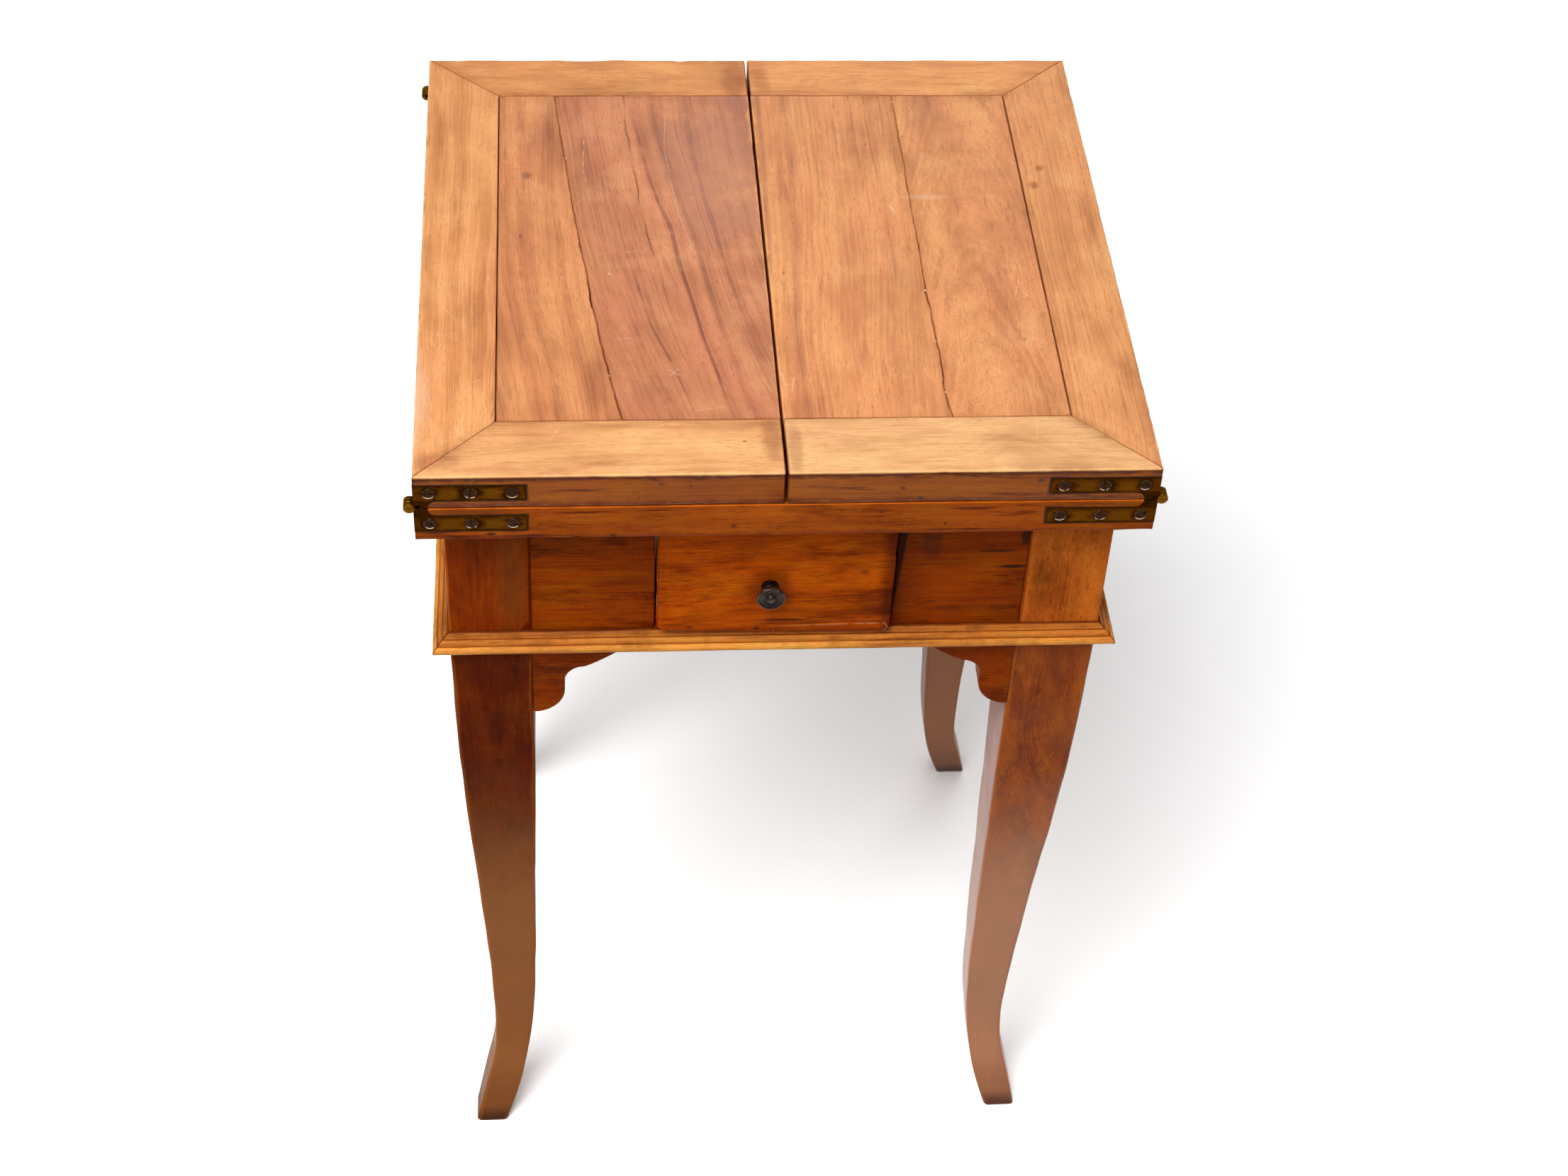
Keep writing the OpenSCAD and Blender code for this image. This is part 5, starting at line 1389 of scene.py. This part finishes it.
class MakeRails(bpy.types.Operator):
    """Makes the rails of the frieze, the drawer's bearer and the thin rail over the drawer"""

    bl_idname = "side_table.make_rails"
    bl_label = "Rails"

    def execute(self, context):
        material = finish_named("rail wood")
        top, thin = BED_Z[0], TOP_RAIL[0][2]
        face, back = -FRAME_Y, -FRAME_Y + RAIL_T
        rails = [
            ("frieze_left", "side_rail_left", (-FRAME_X, -POST_IN_Y, LEG_H),
             (-FRAME_X + RAIL_T, POST_IN_Y, top), 1),
            ("frieze_right", "side_rail_right", (FRAME_X - RAIL_T, -POST_IN_Y, LEG_H),
             (FRAME_X, POST_IN_Y, top), 1),
            ("frieze_back", "back_rail", (-POST_IN_X, FRAME_Y - RAIL_T, LEG_H),
             (POST_IN_X, FRAME_Y, top), 0),
            ("frieze_front_left", "front_rail_left", (-POST_IN_X, face, MOULDING_TOP),
             (OPEN_LEFT, back, thin), 0),
            ("frieze_front_right", "front_rail_right", (OPEN_RIGHT, face, MOULDING_TOP),
             (POST_IN_X, back, thin), 0),
            ("drawer_rail_lower", "drawer_bearer", (-POST_IN_X, face, LEG_H),
             (POST_IN_X, BEARER[1][1], MOULDING_TOP), 0),
            ("drawer_rail_upper", "front_top_rail", (-POST_IN_X, face, thin),
             (POST_IN_X, TOP_RAIL[1][1], top), 0),
        ]
        for number, (name, node, low, high, along) in enumerate(rails):
            exposed = (0, 0, 1, 1, 1, 0) if along == 0 else (1, 1, 0, 0, 1, 0)
            shape = plank(low, high, 0.4 * MM, exposed, along, 7 * MM, 141 + number, wave=0.05 * MM)
            new_piece(name, [(shape, material)], "frame", "frame_wood", node)
        return {"FINISHED"}


def moulding_profile():
    """Distances from the frame and heights of the moulding's outline, from its foot outwards and up to
    the frame again, and the gap of each point to the nearest groove."""
    torus_x = MOULDING_OUT - TORUS_R
    bead = (torus_x - QUIRK - BEAD_R, 2 * TORUS_R + QUIRK)
    step_x, step_z = bead[0] - QUIRK, bead[1] + BEAD_R + QUIRK
    height = MOULDING_TOP - LEG_H + HANG
    lower_groove = [bead[0] + BEAD_R + 0.15 * MM, 2 * TORUS_R - 0.35 * MM]
    upper_groove = [step_x + 0.15 * MM, bead[1] + BEAD_R - 0.3 * MM]
    points = np.concatenate([
        [[0, 0], [torus_x * 0.5, 0.1 * MM]], arc((torus_x, TORUS_R), TORUS_R, -90, 84, 16),
        [lower_groove], arc(bead, BEAD_R, -6, 90, 10), [upper_groove, [step_x, step_z]],
        [[(step_x + 2 * QUIRK) / 2, (step_z + height) / 2 + 0.15 * MM], [2 * QUIRK, height], [0, height]]])
    grooves = np.array([lower_groove, upper_groove, points[-2], points[-1]])
    gap = np.linalg.norm(points[:, None] - grooves[None], axis=2).min(1)
    return points, gap


def moulding(face, half, turn, seed):
    """The profile carried along one side. A point at the distance d from the frame runs between
    half + d on either side of the middle, which mitres both ends. turn is a number of quarter turns."""
    profile, groove = moulding_profile()
    half_row = rows(1, 0.02, 0.01, 0.01)
    share = np.concatenate([half_row - 1, half_row[1:]])
    along = share[:, None] * (half + profile[None, :, 0])
    out, up = np.tile(profile[:, 0], (len(share), 1)), np.tile(profile[:, 1], (len(share), 1))
    points = np.stack([along, -(face + out), LEG_H - HANG + up], -1).reshape(-1, 3)
    seen = np.tile(profile[:, 0] > 0.5 * MM, len(share))
    points[:, 1] += seen * 0.12 * MM * ripple(points, 30 * MM, seed)
    quads, caps = tube_faces(len(share), len(profile))
    mitre = np.repeat(1 - np.abs(share), len(profile)) * half
    joint = np.minimum(np.tile(groove, len(share)), mitre)
    c, s = round(math.cos(turn * math.pi / 2)), round(math.sin(turn * math.pi / 2))
    spun = points @ np.array([[c, s, 0], [-s, c, 0], [0, 0, 1]])
    shape = Shape(spun, quads, caps, joint=close_to(joint))
    return grown(shape, turn % 2, seed)


class MakeMoulding(bpy.types.Operator):
    """Makes the four lengths of moulding round the frame"""

    bl_idname = "side_table.make_moulding"
    bl_label = "Moulding"

    def execute(self, context):
        sides = (("front", FRAME_Y, FRAME_X), ("right", FRAME_X, FRAME_Y), ("back", FRAME_Y, FRAME_X),
                 ("left", FRAME_X, FRAME_Y))
        for turn, (side, face, half) in enumerate(sides):
            shape = moulding(face, half, turn, 161 + turn)
            new_piece(f"beaded_moulding_{side}", [(shape, finish_named("moulding wood"))], "frame",
                      "moulding_wood", f"moulding_{side}")
        return {"FINISHED"}


# A bracket's outline: its lobe, its hollow, and the thickness and bend of its thin end
LOBE_R, COVE_R, TIP_T, RUN_POWER = 22.5 * MM, 14 * MM, 2 * MM, 1.15
BRACKET_W, BRACKET_SETBACK, BRACKET_T = 74 * MM, 0.5 * MM, 19 * MM


def bracket_outline():
    """From the top beside the post: down to the foot, round the lobe, up the hollow and out along a run
    whose thickness falls as a power of the distance. The list runs anticlockwise."""
    height = LEG_H - BRACKET[0][2]
    start = np.array([LOBE_R + COVE_R, -(height - 2 * LOBE_R - QUIRK)])
    share = np.linspace(0, 1, 9)[1:, None]
    run = np.concatenate([start[0] + (BRACKET_W - start[0]) * share,
                          start[1] * (1 - share**RUN_POWER) - TIP_T * share], 1)
    lobe = arc((0, -height + LOBE_R), LOBE_R, -82, 0, 12)
    cove = arc((start[0], start[1] - COVE_R), COVE_R, 180, 90, 12)
    tip = [[BRACKET_W, -0.05 * MM], [0, -0.05 * MM], [0, -height + 0.3 * MM]]
    return np.concatenate([lobe, cove[1:], run, tip])


class MakeBrackets(bpy.types.Operator):
    """Makes the eight shaped brackets between the legs and the rails"""

    bl_idname = "side_table.make_brackets"
    bl_label = "Brackets"

    def execute(self, context):
        outline = bracket_outline()
        sides = (("front", 0, -1), ("back", 0, 1), ("left", 1, -1), ("right", 1, 1))
        for number, (side, along, sign) in enumerate(sides):
            face = (FRAME_Y if along == 0 else FRAME_X) - BRACKET_SETBACK
            start = POST_IN_X if along == 0 else POST_IN_Y
            parts = []
            for other in (-1, 1):
                shape = cut_out(outline, (face - BRACKET_T, face), 0.9 * MM)
                shape = shape.moved(self.beside_post(start, along, sign, other))
                grown(shape, along, 171 + 2 * number + other, (0.15, 0.0), tint=(0.85, 0.85, 1.3))
                parts.append((shape, finish_named("rail wood")))
            new_piece(f"shaped_brackets_{side}", parts, "frame", "frame_wood", f"{side}_brackets")
        return {"FINISHED"}

    def beside_post(self, start, along, sign, other):
        """Takes a bracket drawn at the origin to its post: its length runs inwards from the post's side
        and its thickness lies on the frame's face."""
        def change(points):
            run = other * (start - points[:, 0])
            across = sign * points[:, 1]
            x, y = (run, across) if along == 0 else (across, run)
            return np.stack([x, y, LEG_H + points[:, 2]], 1)
        return change


# The drawer's dovetails, and how far its lower edge rises to the left and how high that can be felt
TAIL_COUNT, TAIL_L, TAIL_ROOT, TAIL_TIP = 3, 12 * MM, 0.14, 0.2
LOWER_EDGE_RISE, EDGE_REACH = 4.0 * MM, 30 * MM
# How far the dovetails stand proud of the drawer's sides and run into its front
TAIL_PROUD, TAIL_LAP = 0.06 * MM, 0.5 * MM


def drawer_split(v):
    """The drawer front's crack rises a little to the right, in a slow wave."""
    return (5.0 * (v - 0.8) + 0.4 * np.sin(17 * v + 1)) * MM


def drawer_split_depth(v):
    """It runs over the right half only."""
    return 1.1 * MM * smooth(v, 0.42, 0.52) * smooth(v, 0.985, 0.95)


class MakeDrawer(bpy.types.Operator):
    """Makes the drawer's front, sides with dovetails, back and bottom"""

    bl_idname = "side_table.make_drawer"
    bl_label = "Drawer"

    def execute(self, context):
        settings = context.scene.table_drawer
        lining = finish_named("lining wood")
        side_t = DRAWER_SIDE[1][0] - DRAWER_SIDE[0][0]
        left, right = DRAWER_SIDE[0][0], box("drawer_side_right")[1][0]
        face, inner = DRAWER[0][1], DRAWER[1][1]
        low, high = DRAWER[0][2], DRAWER[1][2]
        radii = [[0.6 * MM] * 4, [settings.arris] * 4]
        front = slab([[(low, left), (low, right)], [(high, left), (high, right)]], (inner, face), radii,
                     (0, 0, 0, 0, 1, 1), BOARD_STEP, axes=(2, 0, 1), seed=181, chips=(1.2, 1.2, 1.2, 1.2),
                     crack=dict(at=0.088, width=0.9 * MM, path=drawer_split, depth=drawer_split_depth))
        front = front.moved(self.corners(low, left, right, settings.corner))
        grown(front, 0, 187, (0.02, 0.05), (70 * MM, 60 * MM))
        new_piece("drawer_face", [(front, finish_named("drawer wood"))], "drawer", "drawer_face",
                  "drawer_front")
        height = DRAWER_SIDE[1][2] - DRAWER_SIDE[0][2]
        for sign, name in ((-1, "left"), (1, "right")):
            x0 = left if sign < 0 else right - side_t
            start, end = inner, DRAWER_SIDE[1][1]
            shape = plank((x0, start, DRAWER_SIDE[0][2]), (x0 + side_t, end, DRAWER_SIDE[1][2]), 0.8 * MM,
                          (1, 1, 0, 1, 1, 1), 1, 9 * MM, 191 + sign)
            parts = [(shape, lining)]
            for k in range(TAIL_COUNT):
                middle = DRAWER_SIDE[0][2] + height * (k + 0.5) / TAIL_COUNT
                root, tip = height * TAIL_ROOT / 2, height * TAIL_TIP / 2
                outline = [(start - TAIL_L, middle - tip), (start + TAIL_LAP, middle - root),
                           (start + TAIL_LAP, middle + root), (start - TAIL_L, middle + tip)]
                levels = (x0 - TAIL_PROUD, x0 + side_t) if sign < 0 else (x0, x0 + side_t + TAIL_PROUD)
                tail = cut_out(outline, levels, 0.15 * MM, axes=(1, 2, 0), steps=1)
                parts.append((grown(tail, 1, 191 + sign), lining))
            new_piece(f"drawer_wall_{name}", parts, "drawer", "lining_wood", f"drawer_side_{name}")
        back = plank(DRAWER_BACK[0], DRAWER_BACK[1], 0.8 * MM, (0, 0, 1, 1, 1, 1), 0, 9 * MM, 195)
        new_piece("drawer_wall_back", [(back, lining)], "drawer", "lining_wood", "drawer_back")
        bottom = plank(DRAWER_BOTTOM[0], DRAWER_BOTTOM[1], 0.5 * MM, (0, 0, 0, 1, 1, 1), 0, 9 * MM, 197)
        new_piece("drawer_floor", [(bottom, lining)], "drawer", "lining_wood", "drawer_bottom")
        return {"FINISHED"}

    def corners(self, low, left, right, radius):
        """Draws the two lower corners of the front in to quarter circles: a point within the radius of
        both sides is scaled towards the circle's centre by its larger over its whole distance. The lower
        edge then rises evenly to the left."""
        def change(points):
            points = points.copy()
            near = np.clip((low + EDGE_REACH - points[:, 2]) / EDGE_REACH, 0, 1)
            lift = (right - points[:, 0]) / (right - left) * near
            for side, inward in ((left, 1), (right, -1)):
                dx = (side + inward * radius - points[:, 0]) * inward
                dz = low + radius - points[:, 2]
                inside = (dx > 0) & (dz > 0)
                scale = np.where(inside, np.maximum(dx, dz) / np.maximum(np.hypot(dx, dz), 1e-9), 1)
                points[:, 0] += inward * dx * (1 - scale)
                points[:, 2] += dz * (1 - scale)
            points[:, 2] += LOWER_EDGE_RISE * lift
            return points
        return change


# The knob's outline, as shares of its radius and its length: the neck with its bead, the centre, radius and
# ends of the rim's arc, and the dished face with its button. Then how bare the points are rubbed, which is
# also a painted highlight, strongest on the rim's outer edge and on the button
KNOB_NECK = [[0.28, -0.05], [0.60, 0.0], [0.62, 0.03], [0.61, 0.08], [0.555, 0.12], [0.55, 0.16],
             [0.52, 0.20], [0.515, 0.23], [0.55, 0.255], [0.583, 0.29], [0.55, 0.325], [0.515, 0.35],
             [0.51, 0.42], [0.55, 0.50], [0.70, 0.575], [0.84, 0.63]]
KNOB_RIM = ((0.885, 0.775), 0.115, -75, 95, 9)
KNOB_DISH = [[0.82, 0.875], [0.78, 0.835], [0.72, 0.825], [0.67, 0.85], [0.61, 0.865], [0.56, 0.845],
             [0.48, 0.81], [0.40, 0.81], [0.34, 0.86], [0.28, 0.92], [0.18, 0.97], [0.06, 0.995]]
KNOB_RUB_AND_HIGHLIGHT = ([8, 9, 10, 15, 18, 20, 23, 26, 28, 30, 33, 36],
               [0, 0.5, 0, 0, 0.4, 1, 0.4, 0.05, 0.4, 0.05, 0.1, 0.45])
KNOB_SIDES = 64


class MakeKnob(bpy.types.Operator):
    """Turns the drawer's knob"""

    bl_idname = "side_table.make_knob"
    bl_label = "Knob"

    def execute(self, context):
        reach = DRAWER[0][1] - KNOB[0][1]
        radius = (KNOB[1][0] - KNOB[0][0]) / 2
        profile = np.concatenate([KNOB_NECK, arc(*KNOB_RIM), KNOB_DISH])
        worn = np.interp(np.arange(len(profile)), *KNOB_RUB_AND_HIGHLIGHT)
        knob = turned(profile * (radius, reach), KNOB_CENTRE, (0, -1, 0), KNOB_SIDES)
        knob.attributes["worn"] = np.repeat(worn, KNOB_SIDES)
        new_piece("turned_knob", [(knob, finish_named("knob bronze"))], "drawer", "knob_bronze",
                  "drawer_knob")
        return {"FINISHED"}


def strap_outline():
    """A strap above the axis: its foot, the curve where the foot widens into the band, and the band with
    worn outer corners."""
    return np.concatenate([
        [[0.3 * MM, FOOT_GAP], [FOOT_W, FOOT_GAP]],
        arc((FOOT_W + STRAP_OFF, FOOT_GAP), STRAP_OFF - FOOT_GAP, 180, 90, 9),
        arc((STRAP_L - 1.6 * MM, STRAP_OFF + 1.6 * MM), 1.6 * MM, -90, 0, 5),
        arc((STRAP_L - 0.9 * MM, STRAP_OFF + STRAP_W - 0.9 * MM), 0.9 * MM, 0, 90, 4),
        [[0.3 * MM, STRAP_OFF + STRAP_W]]])


def disc(radius, thick, bevel):
    """Outline of a disc with rounded rims, as radii and distances."""
    turn = np.radians(np.linspace(0, 90, 4))
    rise = bevel * (1 - np.cos(turn))
    reach = radius - bevel * (1 - np.sin(turn))
    return np.concatenate([np.stack([reach, rise], 1), np.stack([reach, thick - rise], 1)[::-1]])


def block_between(corners, levels, radius):
    """A small rounded block of brass, touched on all sides."""
    return slab(corners, levels, np.full((2, 4), radius), (1, 1, 1, 1, 1, 1), BOARD_STEP, wave=0)


def strap(upper, material, worn_metal):
    """One hinge strap in the hinge's frame: the plate, the block behind its foot and its eyes."""
    front = BRASS_PROUD / 2
    plate = cut_out(strap_outline(), (front, STRAP_T), 0.35 * MM)
    foot = block_between([[(0.25 * MM, STRAP_T), (0.25 * MM, KNUCKLE_D)],
                          [(FOOT_W, STRAP_T), (FOOT_W, KNUCKLE_D)]], (FOOT_GAP, BLOCK_H), 0.3 * MM)
    layers = ((front, STRAP_T), (KNUCKLE_D - STRAP_T, KNUCKLE_D))
    if not upper:
        layers = ((STRAP_T + EYE_GAP, KNUCKLE_D - STRAP_T - EYE_GAP),)
    parts = [(plate, material), (foot, material)]
    for near, far in layers:
        eye = turned(disc(EYE_R, far - near, 0.45 * MM), (-EYE_OUT, near, 0), (0, 1, 0), 36)
        eye.attributes["worn"] = np.ones(len(eye.points))
        arm = block_between([[(-EYE_OUT, near), (-EYE_OUT, far)], [(FOOT_W / 2, near), (FOOT_W / 2, far)]],
                            (FOOT_GAP, EYE_R - 0.4 * MM), 0.2 * MM)
        parts += [(eye, worn_metal), (arm, material)]
    return parts


def screw_head(centre, angle, material):
    """A slotted screw's head: two halves of a disc beside the slot, on a thinner disc."""
    parts = []
    start = math.degrees(math.asin(SLOT_W / 2 / SCREW_R))
    half = arc((0, 0), SCREW_R, start, 180 - start, 14)
    for turn in (angle, angle + 180):
        c, s = math.cos(math.radians(turn)), math.sin(math.radians(turn))
        shape = cut_out(half @ np.array([[c, s], [-s, c]]), (0.02 * MM, 1.2 * MM), 0.25 * MM)
        parts.append((shape.moved(lambda p: p + (centre[0], 0, centre[1])), material))
    base = turned(disc(SCREW_R - 0.1 * MM, 1.4 * MM, 0.1 * MM), (centre[0], 0.75 * MM, centre[1]),
                  (0, 1, 0), 28)
    parts.append((base, material))
    return parts


def at_hinge(parts, right, back, upper):
    """Puts parts drawn in the hinge's frame at one of the table's four corners, above or below the axis."""
    def change(points):
        x = (-HALF_X + points[:, 0]) * (-1 if right else 1)
        y = (-HALF_Y + points[:, 1]) * (-1 if back else 1)
        return np.stack([x, y, AXIS_Z + points[:, 2] * (1 if upper else -1)], 1)
    return [(shape.moved(change), material) for shape, material in parts]


# Turns of the screws' slots, in degrees, which repeat round the table
SLOT_TURNS = (4, 82, 8, 35, 86, 28, 172, 3, 40, 95, 176, 12)


class MakeHinges(bpy.types.Operator):
    """Makes the straps, eyes, pins and screws of the four hinges"""

    bl_idname = "side_table.make_hinges"
    bl_label = "Hinges"

    def execute(self, context):
        metal, worn_metal = finish_named("hinge brass"), finish_named("worn brass")
        screw_metal = finish_named("screw brass")
        straps, screws, pins = {}, {}, []
        count = 0
        # The pin: a domed head, and a shank that narrows at its end
        turn = np.array([1.45, 1.1, 0.7, 0.3, 0])
        dome = np.stack([PIN_R * np.cos(turn), 0.6 * MM * (1 - np.sin(turn)) + 0.1 * MM], 1)
        profile = dome.tolist() + [[PIN_R, KNUCKLE_D - 0.4 * MM], [PIN_R * 0.8, KNUCKLE_D]]
        for right, side in enumerate(("left_leaf", "right_leaf")):
            for back in (0, 1):
                for upper in (1, 0):
                    owner = side if upper else "frame"
                    parts = at_hinge(strap(upper, metal, worn_metal), right, back, upper)
                    straps.setdefault(owner, []).extend(parts)
                    for k in range(3):
                        place = (SCREW_FIRST + k * SCREW_STEP, STRAP_MIDDLE)
                        head = screw_head(place, SLOT_TURNS[count % len(SLOT_TURNS)], screw_metal)
                        screws.setdefault(owner, []).extend(at_hinge(head, right, back, upper))
                        count += 1
                pin = turned(profile, (-EYE_OUT, 0, 0), (0, 1, 0), 28)
                pins += at_hinge([(pin, worn_metal)], right, back, 1)
        for owner, parts in straps.items():
            node = "bed_straps" if owner == "frame" else owner + "_straps"
            new_piece(f"{owner}_hinge_straps", parts, owner, "hinge_brass", node)
            node = "bed_hinge_screws" if owner == "frame" else owner + "_screws"
            new_piece(f"{owner}_strap_screws", screws[owner], owner, "hinge_screws", node)
        new_piece("hinge_pin_set", pins, "frame", "hinge_brass", "hinge_pins")
        return {"FINISHED"}


class FinishHidden(bpy.types.Operator):
    """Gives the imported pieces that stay, inside the frieze, their wood and steel"""

    bl_idname = "side_table.finish_hidden"
    bl_label = "Inner pieces"

    def execute(self, context):
        inner = ("drawer_runner_left", "drawer_runner_right", "drawer_guide_left", "drawer_guide_right",
                 "drawer_kickers", "drawer_stops", "top_buttons")
        for name in inner + ("top_button_screws", "drawer_knob_screw"):
            mesh = frame["nodes"][name].data
            mesh.materials.clear()
            mesh.materials.append(finish_named("hidden wood" if name in inner else "steel"))
        return {"FINISHED"}


# Where the two lamps hang, and the place that both face and their width
KEY_PLACE, FILL_PLACE = (-0.9, -1.35, 3.0), (0.6, 2.2, 2.2)
LAMP_TARGET, LAMP_WIDTH = (0.0, 0.0, 0.6), 2.0


class MakeStage(bpy.types.Operator):
    """Makes the camera, the floor, the lamps and the even light all round"""

    bl_idname = "side_table.make_stage"
    bl_label = "Stage"

    def execute(self, context):
        stage = context.scene.table_stage
        self.camera(context, stage)
        half = stage.floor / 2
        mesh = bpy.data.meshes.new("floor")
        corners = [(-half, -half, 0), (half, -half, 0), (half, half, 0), (-half, half, 0)]
        mesh.from_pydata(corners, [], [(0, 1, 2, 3)])
        mesh.materials.append(floor_finish("floor"))
        floor = bpy.data.objects.new("floor", mesh)
        context.scene.collection.objects.link(floor)
        self.lamp(context, "key lamp", KEY_PLACE, stage.key)
        self.lamp(context, "fill lamp", FILL_PLACE, stage.fill)
        self.sky(context, stage.sky)
        context.scene.view_settings.view_transform = "Standard"
        return {"FINISHED"}

    def camera(self, context, stage):
        """The camera's axes: the rows of roll times pitch times turn, applied to a level camera that looks
        along +Y."""
        level = Matrix(((1, 0, 0), (0, 0, -1), (0, 1, 0)))
        axes = (Matrix.Rotation(stage.roll, 3, "Z") @ Matrix.Rotation(stage.pitch, 3, "X")
                @ Matrix.Rotation(stage.turn, 3, "Y") @ level)
        camera = bpy.data.objects.new("camera", bpy.data.cameras.new("camera"))
        camera.data.lens = stage.lens
        camera.data.sensor_width = 36.0
        columns = Matrix((axes[0], -axes[1], -axes[2])).transposed()
        camera.matrix_world = Matrix.Translation(stage.place) @ columns.to_4x4()
        context.scene.collection.objects.link(camera)
        context.scene.camera = camera

    def lamp(self, context, name, place, power):
        """A round soft lamp that looks at the table."""
        light = bpy.data.lights.new(name, "AREA")
        light.shape = "DISK"
        light.size = LAMP_WIDTH
        light.energy = power
        lamp = bpy.data.objects.new(name, light)
        lamp.location = place
        lamp.rotation_euler = (Vector(LAMP_TARGET) - Vector(place)).to_track_quat("-Z", "Y").to_euler()
        context.scene.collection.objects.link(lamp)

    def sky(self, context, strength):
        """White where it is seen or reflected, and an even pale light for everything else."""
        world = bpy.data.worlds.new("sky")
        context.scene.world = world
        world.use_nodes = True
        t = Nodes(world.node_tree)
        level = t.node("ShaderNodeMapRange", {"Value": t.seen(), "To Min": strength, "To Max": 1.0})
        light = t.node("ShaderNodeBackground", {"Strength": level.outputs[0]})
        t.node("ShaderNodeOutputWorld", [light.outputs[0]])


OPERATORS = (MakeStage, MakeFinishes, MakeLeaves, MakeBed, MakeLegs, MakeRails, MakeMoulding, MakeBrackets,
             MakeDrawer, MakeKnob, MakeHinges, FinishHidden)
GROUPS = {"table_top": TopSettings, "table_frame": FrameSettings, "table_drawer": DrawerSettings,
          "table_metal": MetalSettings, "table_stage": StageSettings}


class SideTablePanel(bpy.types.Panel):
    """Lists the settings and the steps that build the table"""

    bl_idname = "VIEW3D_PT_side_table"
    bl_label = "Side Table"
    bl_space_type = "VIEW_3D"
    bl_region_type = "UI"
    bl_category = "Side Table"

    def draw(self, context):
        for name, group in GROUPS.items():
            settings = getattr(context.scene, name)
            area = self.layout.box()
            for key in group.__annotations__:
                area.prop(settings, key)
        for operator in OPERATORS:
            self.layout.operator(operator.bl_idname)


def register():
    for group in GROUPS.values():
        bpy.utils.register_class(group)
    for name, group in GROUPS.items():
        setattr(bpy.types.Scene, name, PointerProperty(type=group))
    for operator in OPERATORS:
        bpy.utils.register_class(operator)
    bpy.utils.register_class(SideTablePanel)


def unregister():
    bpy.utils.unregister_class(SideTablePanel)
    for operator in reversed(OPERATORS):
        bpy.utils.unregister_class(operator)
    for name, group in GROUPS.items():
        delattr(bpy.types.Scene, name)
        bpy.utils.unregister_class(group)


def main():
    register()
    bpy.ops.side_table.make_stage()
    bpy.ops.side_table.make_finishes()
    bpy.ops.side_table.make_leaves()
    bpy.ops.side_table.make_bed()
    bpy.ops.side_table.make_legs()
    bpy.ops.side_table.make_rails()
    bpy.ops.side_table.make_moulding()
    bpy.ops.side_table.make_brackets()
    bpy.ops.side_table.make_drawer()
    bpy.ops.side_table.make_knob()
    bpy.ops.side_table.make_hinges()
    bpy.ops.side_table.finish_hidden()


if __name__ == "__main__":
    main()
